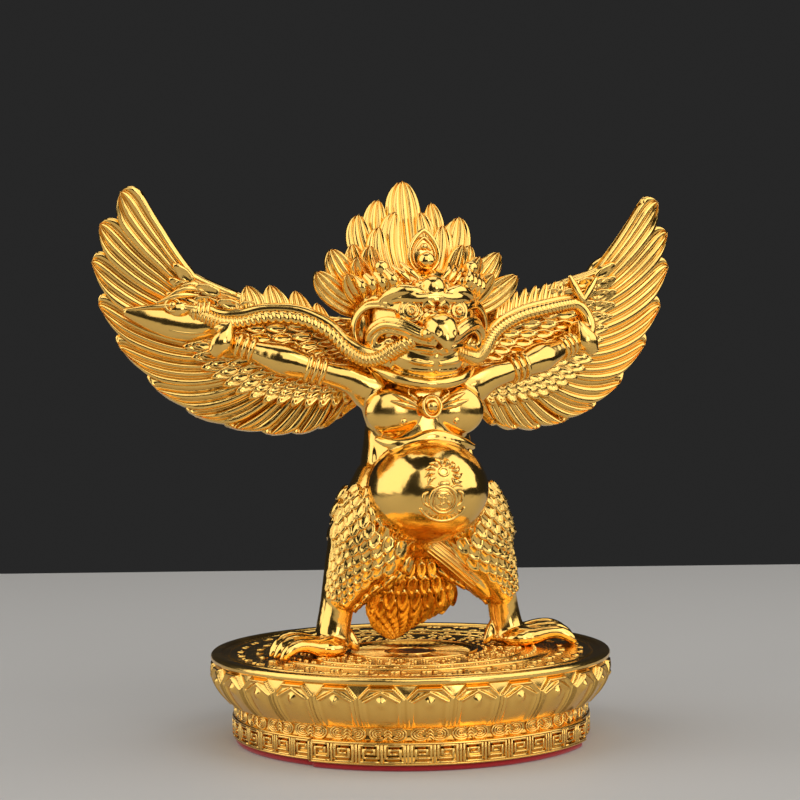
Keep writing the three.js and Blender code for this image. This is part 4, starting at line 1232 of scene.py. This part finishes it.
# Torso, arms and legs, without their ornament
body = {
    "torso": [(0, 1, 30, 9, 8), (0, 0, 35, 14, 11), (0, 0, 41, 15.8, 12), (0, 0, 50, 14, 10.5),
        (0, 0, 58, 14, 9.6), (0, 0, 66, 15.8, 9.2), (0, 0, 75, 12, 8)],
    "belly": ((-1.0, -10.4, 42.6), (16.1, 15, 13.8)),
    "pec": ((7.7, -5.9, 63.4), (8.8, 4.5, 7.0)),
    "band": [(-1.5, -6, 30, 2.4, 2.2), (0.8, -6.4, 28, 2.6, 2.2), (5.2, -6.6, 24.5, 2.6, 2.2),
        (9.6, -5.8, 20.9, 2.6, 2.4), (13.7, -4.4, 17.6, 2.6, 2.6), (17.4, -2.8, 14.4, 2.4, 2.4)],
    "bandNormal": (0.63, 0.78, 18.6, 25.3),    # across the ribbed band of the left thigh, and its two edges
    "stripNormal": (0.66, -0.76, -25.4, -22.6),
    "ribs": [(-13.4, -6.6, 56.2, 1.0), (-11.4, -9.6, 55.2, 1.4), (-9.4, -11.2, 54.9, 1.6),
        (-6.2, -12.2, 55.2, 1.7), (-0.8, -12.6, 56.9, 1.8), (4.4, -12, 56.1, 1.7), (8.8, -10.2, 54.9, 1.5),
        (12.8, -6.8, 53.7, 1.0)],
    "arm": [(4, 2, 67, 7.4, 7), (10, 0, 68.4, 7, 6.4), (15, -1.2, 70.2, 5.6, 5.2), (19.6, -1.6, 72.2, 4, 4),
        (24.5, -0.9, 73.5, 3.2, 3.3), (30, 0.2, 75.2, 3.3, 3.4), (36, 2.2, 77.1, 4.2, 4.2),
        (40, 4, 78.5, 3.5, 3.5), (43.4, 5.6, 79.8, 2.7, 2.8), (47.4, 7.5, 81.3, 2.5, 2.5),
        (50, 9, 82.6, 2.8, 2.8)],
    "flank": [(12.8, 1, 60, 1.4, 3), (13.4, 1, 53, 1.6, 4.4), (14.6, 0.6, 46.6, 1.8, 5.2),
        (18.4, 0.6, 40, 2, 5), (21, 0.5, 33, 1.6, 4.4)],
    "thigh": [(9, 0, 44, 9.2, 9.2), (11.4, -0.5, 36, 11, 10), (14, -1, 27.5, 11.2, 9), (19, -1, 20, 7.2, 6.8),
        (22.4, -1, 14, 4.6, 5)],
    "shin": [(22.2, -1, 17, 4.2, 4.4), (23, -0.6, 12, 4.1, 4.2), (23.8, -0.3, 8, 4.2, 4.2),
        (24.5, -0.4, 4.5, 4.4, 4.4), (24.9, -0.8, 1.6, 4.8, 4.6)],
    "instep": ((26.8, -3.2, 1.9), (5.4, 5.6, 2.9)),
    "strip": [(17.2, 1.4, 42.6, 1.1, 2.6), (22.6, 1.2, 33.6, 1.3, 3.2), (24, 0.8, 26, 1.5, 3.2),
        (25.2, 0.6, 18, 1.5, 3), (26.2, 0.6, 12, 1.4, 2.6), (27.6, 0.6, 6, 1.2, 2.2),
        (28.4, 0.6, 3, 0.8, 1.6)],
    "tail": [(0, 1.5, 29, 7, 5), (0, 4, 21.5, 10.6, 3.8), (0, 8.4, 14.2, 12.2, 3.2), (0, 11, 10, 9.7, 2.8),
        (0, 12.8, 6.2, 6.4, 2.4), (0, 13.6, 3.2, 3.5, 1.9), (0, 14, 1.2, 1.4, 1.2)],
    "tailLean": (3.8, 14, 11),    # the tip's shift to the figure's right, where it starts and its length
    "toes": [
        [(26, -5, 2.2, 2.6), (30, -6.4, 2.3, 2.3), (33, -7.4, 3.1, 1.9), (36, -8.2, 3.3, 1.75),
         (38.6, -8.9, 2.3, 1.6), (40.2, -9.3, 0.9, 1.1), (40.8, -9.5, 0.6, 0.5)],
        [(26, -2, 3, 2.7), (30, -2.8, 2.9, 2.3), (33.2, -3.7, 3.7, 2.0), (36.4, -4.5, 3.9, 1.9),
         (39, -5.3, 2.9, 1.75), (40.8, -6, 1.2, 1.2), (41.6, -6.3, 0.7, 0.6)],
        [(26, 1, 3.2, 2.8), (30, 1, 3.1, 2.3), (33.4, 0.4, 4.1, 2.05), (36.6, -0.4, 4.3, 1.95),
         (39.2, -1.5, 3.3, 1.8), (41.2, -2.7, 1.4, 1.3), (42, -3.2, 0.7, 0.6)],
    ],
    "heel": [(22, 0, 6.6, 1.8, 1.1), (20, -0.5, 3.6, 1.9, 1.3), (18.4, -0.8, 1.3, 1.2, 1.1),
        (17.8, -0.9, 0.6, 0.6, 0.6)],
    "fingers": [(50.2, 6.9, 79.8), (50.8, 6.9, 82), (51.2, 7.1, 84.2), (51.4, 7.5, 86.2)],
    "thumb": [(53.4, 6.6, 79.4, 2.2, 1.6), (52, 5.6, 81.6, 3, 1.8), (50.6, 5.6, 84.2, 2.2, 1.4),
        (49.4, 6.4, 87.4, 0.5, 0.4)],
    "fingerSize": (2.5, 1.7, 1.15),
    "palm": ((50.4, 9.4, 83.4), (3, 2.9, 4)),
    "voxel": 0.4,
    "triangles": 150000,
}


# The tail's tip is off the middle line
def leanTail(points):
    shift, top, length = body["tailLean"]
    return points - smooth(0, length, top - points[:, 2:]) * (shift, 0, 0)


def bodyShapes():
    tailPoints, tailFaces = limb(body["tail"], 48, 50, cap=0.5)
    shapes = [limb(body["torso"], 64, 60), egg(*body["belly"], 96), (leanTail(tailPoints), tailFaces),
              limb(body["ribs"], 20, 70), limb(body["band"], 24, 30)]
    half = [egg(*body["pec"], 48), limb(body["arm"], 32, 60), limb(body["flank"], 20, 30),
            egg(*body["instep"], 32), limb(body["strip"], 20, 50), limb(body["thigh"], 48, 40),
            limb(body["shin"], 32, 30, cap=0.2), limb(body["heel"], 14, 14)]
    half += [limb(toe, 18, 30, front=(0, -0.9, 0.5)) for toe in body["toes"]]
    half += [egg(place, body["fingerSize"], 20, (0, 12, 8)) for place in body["fingers"]]
    half += [limb(body["thumb"], 12, 14), egg(*body["palm"], 24)]
    return [*shapes, *bothSides(half)]


# Bracelets and the ornaments laid on the skin of chest and belly
ornament = {
    "elbow": (((26.4, -0.5, 74.1), (28.2, -0.2, 74.7), (30, 0.2, 75.2)), 3.25),    # its rings' places, radius
    "wrist": (((43.6, 5.7, 79.9), (45.2, 6.4, 80.5), (46.8, 7.2, 81.1)), 2.65),
    "wire": 0.82,
    "gem": (0.4, -10.6, 64.6),
    "nipple": (7.2, -12, 60.2),
    "ribbons": ([(2.6, -13, 65.2, 0.5), (6.4, -14, 67.8, 1.0), (10.4, -12, 69.6, 0.3)],
        [(2.6, -13, 64.2, 0.5), (6.6, -14, 65.6, 1.0), (11.2, -13, 67, 0.3)],
        [(1.6, -12, 66.4, 0.45), (3.6, -13, 69, 0.7), (6, -12, 71.6, 0.3)]),
    "hem": [(-5, -10, 28.4, 0.25), (-9.4, -10, 24.4, 0.36), (-13.4, -9, 20.6, 0.36), (-18, -8, 16.8, 0.2)],
    "leaves": (15.6, 13.4, 64, 41),    # half width and height of their arc, its reach in degrees, their count
    "emblem": (-1.7, 40.8),            # x and z
    "circles": ((3.5, 0.55, 28), (2.5, 0.3, 28), (0.7, 0.32, 14)),    # radius, half width and steps
    "flame": (-1.3, 48),
    "flameDrop": (-1.5, -25, 45.0),
    "laidFrom": (-26, -25, -24),       # y from which petals, other strokes and garland are laid on the belly
    # strokes beside the emblem, as x and z from its middle and half width, and their steps
    "strokes": (([(3.6, -1.8, 0.35), (5.2, -0.6, 0.5), (5.2, 1.6, 0.5), (4.2, 2.2, 0.3)], 14),
        ([(2.2, 3.4, 0.3), (3.8, 3.9, 0.45), (5.2, 3.4, 0.2)], 10)),
}


def braceletShapes():
    return bothSides([
        ringRound(place, np.subtract(places[2], places[0]), (radius, radius), ornament["wire"], 40, 10)
        for places, radius in (ornament["elbow"], ornament["wrist"]) for place in places])


def chestShapes(skinTree):
    gem = np.array(ornament["gem"])
    shapes = [egg(gem, (1.6, 1.5, 1.8), 20), ringRound(gem, (0.1, -1, 0.15), (2.5, 2.9), 0.45),
              egg(gem + (0, 1, 0), (2.7, 1.2, 3.1), 24)]
    half = [egg(layOn(skinTree, [ornament["nipple"]])[0][0], (0.9, 0.5, 0.9), 14)]
    half += [ridgeOn(skinTree, rows, lift=0.1) for rows in ornament["ribbons"]]
    shapes += bothSides(half)
    # the border of small leaves where the belly meets the thighs
    middleX, _, middleZ = body["belly"][0]
    wide, tall, reach, count = ornament["leaves"]
    for turn in np.radians(np.linspace(-reach, reach, count)):
        x, z = middleX + wide * math.sin(turn), middleZ - tall * math.cos(turn)
        leaf = [(x, -9, z, 0.25), (x * 1.02, -8, z - 0.7, 0.45), (x * 1.04, -7, z - 1.4, 0.15)]
        shapes.append(ridgeOn(skinTree, leaf, 5))
    # the ribbed bands along the inner side of the thighs
    acrossX, acrossZ = body["bandNormal"][:2]
    for offset in np.linspace(-2, 2, 6):
        share = math.sqrt(1 - (offset / 2.6) ** 2)
        shapes.append(limb([(x + acrossX * offset, y - deep * share - 0.05, z + acrossZ * offset, 0.3)
                            for x, y, z, _, deep in body["band"][1:-1]], 8, 24))
    hems = [np.array(ornament["hem"]) - (shift, 0, shift, 0) for shift in (0, 0.5, 1)]
    return [*shapes, *(ridgeOn(skinTree, hem, 24) for hem in hems)]


def emblemShapes(skinTree):
    x, z = ornament["emblem"]
    flameX, flameZ = ornament["flame"]
    petalFrom, strokeFrom, garlandFrom = ornament["laidFrom"]

    def circle(centreX, centreZ, radius, wire, count):
        turn = roundAngles(count)
        places = np.stack([centreX + radius * np.cos(turn), 0 * turn + strokeFrom,
                           centreZ + radius * np.sin(turn)], 1)
        spots, normals, _ = layOn(skinTree, places)
        return hoop(spots, wire, 6, normals.mean(0) * -1)

    # a stroke that leaves a middle, of rows of distance, angle and half width
    def ray(middle, y, rows, steps, lift=0.0):
        return ridgeOn(skinTree, [
            (middle[0] + size * math.cos(turn), y, middle[1] + size * math.sin(turn), wire)
            for size, turn, wire in rows], steps, lift=lift)

    shapes = [circle(x, z, *values) for values in ornament["circles"]]
    shapes += [ray((x, z), petalFrom, [(0.9, turn, 0.25), (1.5, turn + 0.3, 0.45), (2.1, turn, 0.2)], 8)
               for turn in np.radians([45, 135, 225, 315])]
    shapes.append(circle(flameX, flameZ + 0.5, 1.3, 0.4, 20))
    for number in range(10):
        turn, reach = math.radians(-32 + 27 * number), 6.2 if 3 < number < 6 else 5.5
        rows = [(2.7, turn - 0.1, 0.3), (4, turn - 0.16, 0.8), (reach, turn + 0.08, 0.12)]
        shapes.append(ray((flameX, flameZ), strokeFrom, rows, 12, 0.15))
    shapes.append(egg(layOn(skinTree, [ornament["flameDrop"]])[0][0], (1.7, 0.6, 0.75), 14))
    for side in (-1, 1):
        shapes += [ridgeOn(skinTree, [(x + side * right, strokeFrom, z + up, wire)
                                      for right, up, wire in rows], steps)
                   for rows, steps in ornament["strokes"]]

    # the garland under the emblem
    def hang(wide, drop, turn, wire):
        return (x + wide * math.sin(turn), garlandFrom, z - 0.6 - drop * math.cos(turn), wire)

    turns = np.radians(np.linspace(-72, 72, 9))
    shapes.append(ridgeOn(skinTree, [hang(6.2, 5.2, turn, 0.5) for turn in turns], 36, 8))
    return [*shapes, *(ridgeOn(skinTree, [hang(4.5, 3.9, turn, 0.22), hang(5.6, 4.8, turn, 0.3)], 4)
                       for turn in np.radians(np.linspace(-60, 60, 9)))]


# Scales: length, half width and lift of a leaf
scales = {
    "thigh": (1.0, 0.62, 0.34),
    "tail": (1.3, 0.56, 0.42),
    "covert": (1.5, 0.6, 0.4),
    "bareStrip": (0.8, 3.4, 15.5, 0.23, 44),    # the thigh's outer strip: its middle, half depth and edge
    "reach": 0.9,                               # a scale lies at most this far off the skin
    "thighRows": (15, 19, (0.12, 0.98)),        # rows, scales in a row, and the shares of the limb they span
    "tailRows": (11, 7, (0.03, 0.9)),
    "covertSize": 0.9,
}


# One scale: a leaf with a raised rim and a keel, pointing along +Y and standing on Z, out of few faces
def scaleShape(length, width, lift, sides=8):
    turn = roundAngles(sides)
    outline = np.stack([width * np.sin(turn) * np.abs(np.sin(turn / 2)) ** 0.35,
                        length * (0.36 + 0.84 * np.cos(turn))], 1)
    middle = (0, 0.3 * length)
    rings = []
    for size, height in ((1.0, -0.3), (1.0, 0.04), (0.84, 0.32), (0.58, 0.06)):
        rows = (outline - middle) * size + middle
        rings.append(np.column_stack([rows, height + lift * 0.45 * (rows[:, 1] + length * 0.5)]))
    return skin(np.array(rings), np.array([[*middle, -0.3], [0, 0.46 * length, 0.3 + lift * 0.44 * length]]))


# Places for rows of scales round a limb: evenly round it, or across its front and back where it is flat
def limbPlaces(stations, rows, perRow, span, flat=False):
    line = spline(stationsOf(stations), np.linspace(*span, rows))
    along = unitOf(np.gradient(line[:, :3], axis=0))
    across = unitOf(np.cross(along, (0, -1, 0)))
    out = unitOf(np.cross(across, along))
    places, alongs, sizes = [], [], []
    for row in range(rows):
        wide, deep = line[row, 3:5]
        stagger = 0.5 * (row % 2)
        if flat:
            front = np.arccos(np.clip((np.arange(perRow + 1) + stagger) / perRow * 2 - 1, -0.9, 0.9))
            angles, size = np.concatenate([front, -front]), 2 * wide / perRow
        else:
            angles, size = (np.arange(perRow) + stagger) / perRow * 2 * np.pi, (wide + deep) * np.pi / perRow
        for angle in angles:
            strip = (line[:, :3] + across * line[:, 3:4] * math.cos(angle)
                     + out * line[:, 4:5] * math.sin(angle))
            places.append(strip[row])
            # on the flat tail the scales turn towards its tip
            alongs.append(unitOf(np.gradient(strip, axis=0))[row] if flat else along[row])
            sizes.append(size)
    return np.array(places), np.array(alongs), np.array(sizes)


# Copies of a scale, from their places, their outward and forward directions and their sizes
def scatterOf(name, shape, places, outwards, alongs, sizes, size=1.0):
    mesh = bpy.data.meshes.new(name)
    mesh.vertices.add(len(places))
    mesh.vertices.foreach_set("co", (toPart(places) * mm).astype(np.float32).ravel())
    for label, kind, values in (("outward", "FLOAT_VECTOR", outwards), ("along", "FLOAT_VECTOR", alongs),
                                ("size", "FLOAT", sizes * unit)):
        field = mesh.attributes.new(label, kind, "POINT")
        field.data.foreach_set("value" if kind == "FLOAT" else "vector", values.astype(np.float32).ravel())
    pattern = meshObject("scale", [scaleShape(*shape)])
    return repeated(newObject(name, mesh), scatterTree, pattern, gilt, {"Size": size})


# Scales on the skin, where groups of places, directions and sizes lie close to it
def scalesOn(name, shape, skinTree, groups):
    laid = []
    for places, alongs, sizes in groups:
        spots, normals, distances = layOn(skinTree, places)
        laid.append([part[distances < scales["reach"]] for part in (spots, normals, alongs, sizes)])
    return scatterOf(name, shape, *(np.concatenate(parts) for parts in zip(*laid)))


# The scales of a thigh that a ribbed band across its front leaves clear
def clearOf(band, places, alongs, sizes):
    x, z, low, high = band
    across = places[:, 0] * x + places[:, 2] * z
    keep = (across < low) | (across > high) | (places[:, 1] > 0)
    return places[keep], alongs[keep], sizes[keep]


def bodyScales(skinTree):
    thigh = limbPlaces(body["thigh"], *scales["thighRows"])
    x, y, z = thigh[0].T
    middle, half, edge, slope, top = scales["bareStrip"]
    covered = (np.abs(y - middle) >= half) | (x <= edge + slope * (top - z))
    places, alongs, sizes = (part[covered] for part in thigh)
    thighs = [clearOf(body["bandNormal"], places, alongs, sizes),
              clearOf(body["stripNormal"], places * (-1, 1, 1), alongs * (-1, 1, 1), sizes)]
    places, alongs, sizes = limbPlaces(body["tail"], *scales["tailRows"], flat=True)
    tail = leanTail(places), unitOf(leanTail(places + 0.1 * alongs) - leanTail(places)), sizes
    return [scalesOn("thighScales", scales["thigh"], skinTree, thighs),
            scalesOn("tailScales", scales["tail"], skinTree, [tail])]


# Gilds a piece, with painted shade in its hollows unless that is switched off
def gild(piece, paintHollowShade=True):
    if paintHollowShade:
        markHollows(piece)
    finishPiece(piece, gilt)


def buildFigure():
    figureBody = fuse("figureBody", bodyShapes(), body["voxel"], 5, body["triangles"])
    skinTree = treeOf(figureBody)
    gild(figureBody)
    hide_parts("garuda_figure")
    print("body done")
    for piece in bodyScales(skinTree):
        gild(piece, False)
    figureHead = fuse("figureHead", headShapes(), head["voxel"], 2, head["triangles"])
    dent(figureHead, head["dents"])
    gild(figureHead)
    print("head done")
    gild(meshObject("crownLocks", placed(crownShapes())))
    gild(meshObject("figureWings", placed([*wingShapes(-1), *wingShapes(1)])))
    groups = [covertPlaces(side, back) for side in (-1, 1) for back in (False, True)]
    coverts = (np.concatenate(parts) for parts in zip(*groups))
    gild(scatterOf("wingCoverts", scales["covert"], *coverts, size=scales["covertSize"]), False)
    print("wings done")
    gild(meshObject("serpents", placed([*serpentShapes("right", -1), *serpentShapes("left", 1), *maneShapes(),
                                        *serpentHead()])))
    ornaments = [*braceletShapes(), *chestShapes(skinTree), *emblemShapes(skinTree)]
    gild(meshObject("jewels", placed(ornaments)), False)
    print("ornament done")


buildFigure()

# Stage: a pale table top turned to the camera, and large soft boxes of light with dark gaps between them
stage = {"tableSize": 0.9, "table": (0.55, 0.53, 0.5), "air": (0.5, 0.5, 0.5), "airStrength": 0.04,
         "target": (0, 0, 0.07)}
lights = {    # place, size and power
    "left": ((-1.1, 0.05, 0.7), 1.7, 13.0),
    "front": ((-0.05, -1.25, 0.95), 1.25, 6.5),
    "right": ((0.95, -0.6, 0.85), 1.6, 12.0),
    "top": ((0.1, 0.3, 1.2), 0.8, 2.5),
    "low": ((0.3, -1.2, 0.2), 0.4, 1.4),
}


def buildStage():
    turns = [math.radians(viewpoint["azimuth"] + corner) for corner in (-135, -45, 45, 135)]
    reach = stage["tableSize"] * math.sqrt(0.5)
    mesh = bpy.data.meshes.new("floor")
    corners = [(reach * math.cos(turn), reach * math.sin(turn), 0) for turn in turns]
    mesh.from_pydata(corners, [], [(0, 1, 2, 3)])
    floor = newObject("floor", mesh)
    material, tree, shader = newFinish("paleFloor")
    feed(tree, shader, {"Base Color": (*stage["table"], 1), "Roughness": 0.6})
    mesh.materials.append(material)
    world = bpy.data.worlds.new("studio")
    world.use_nodes = True
    feed(world.node_tree, world.node_tree.nodes["Background"],
         {"Color": (*stage["air"], 1), "Strength": stage["airStrength"]})
    bpy.context.scene.world = world
    for name, (place, size, power) in lights.items():
        data = bpy.data.lights.new(name, "AREA")
        data.shape = "RECTANGLE"
        data.size = data.size_y = size
        data.energy = power
        lamp = bpy.data.objects.new(name, data)
        lamp.location = place
        lamp.visible_camera = False
        lamp.rotation_euler = (Vector(stage["target"]) - lamp.location).to_track_quat("-Z", "Y").to_euler()
        bpy.context.scene.collection.objects.link(lamp)
    bpy.context.scene.view_settings.view_transform = "Standard"
    bpy.context.scene.view_settings.look = "None"


buildStage()
print("stage done")
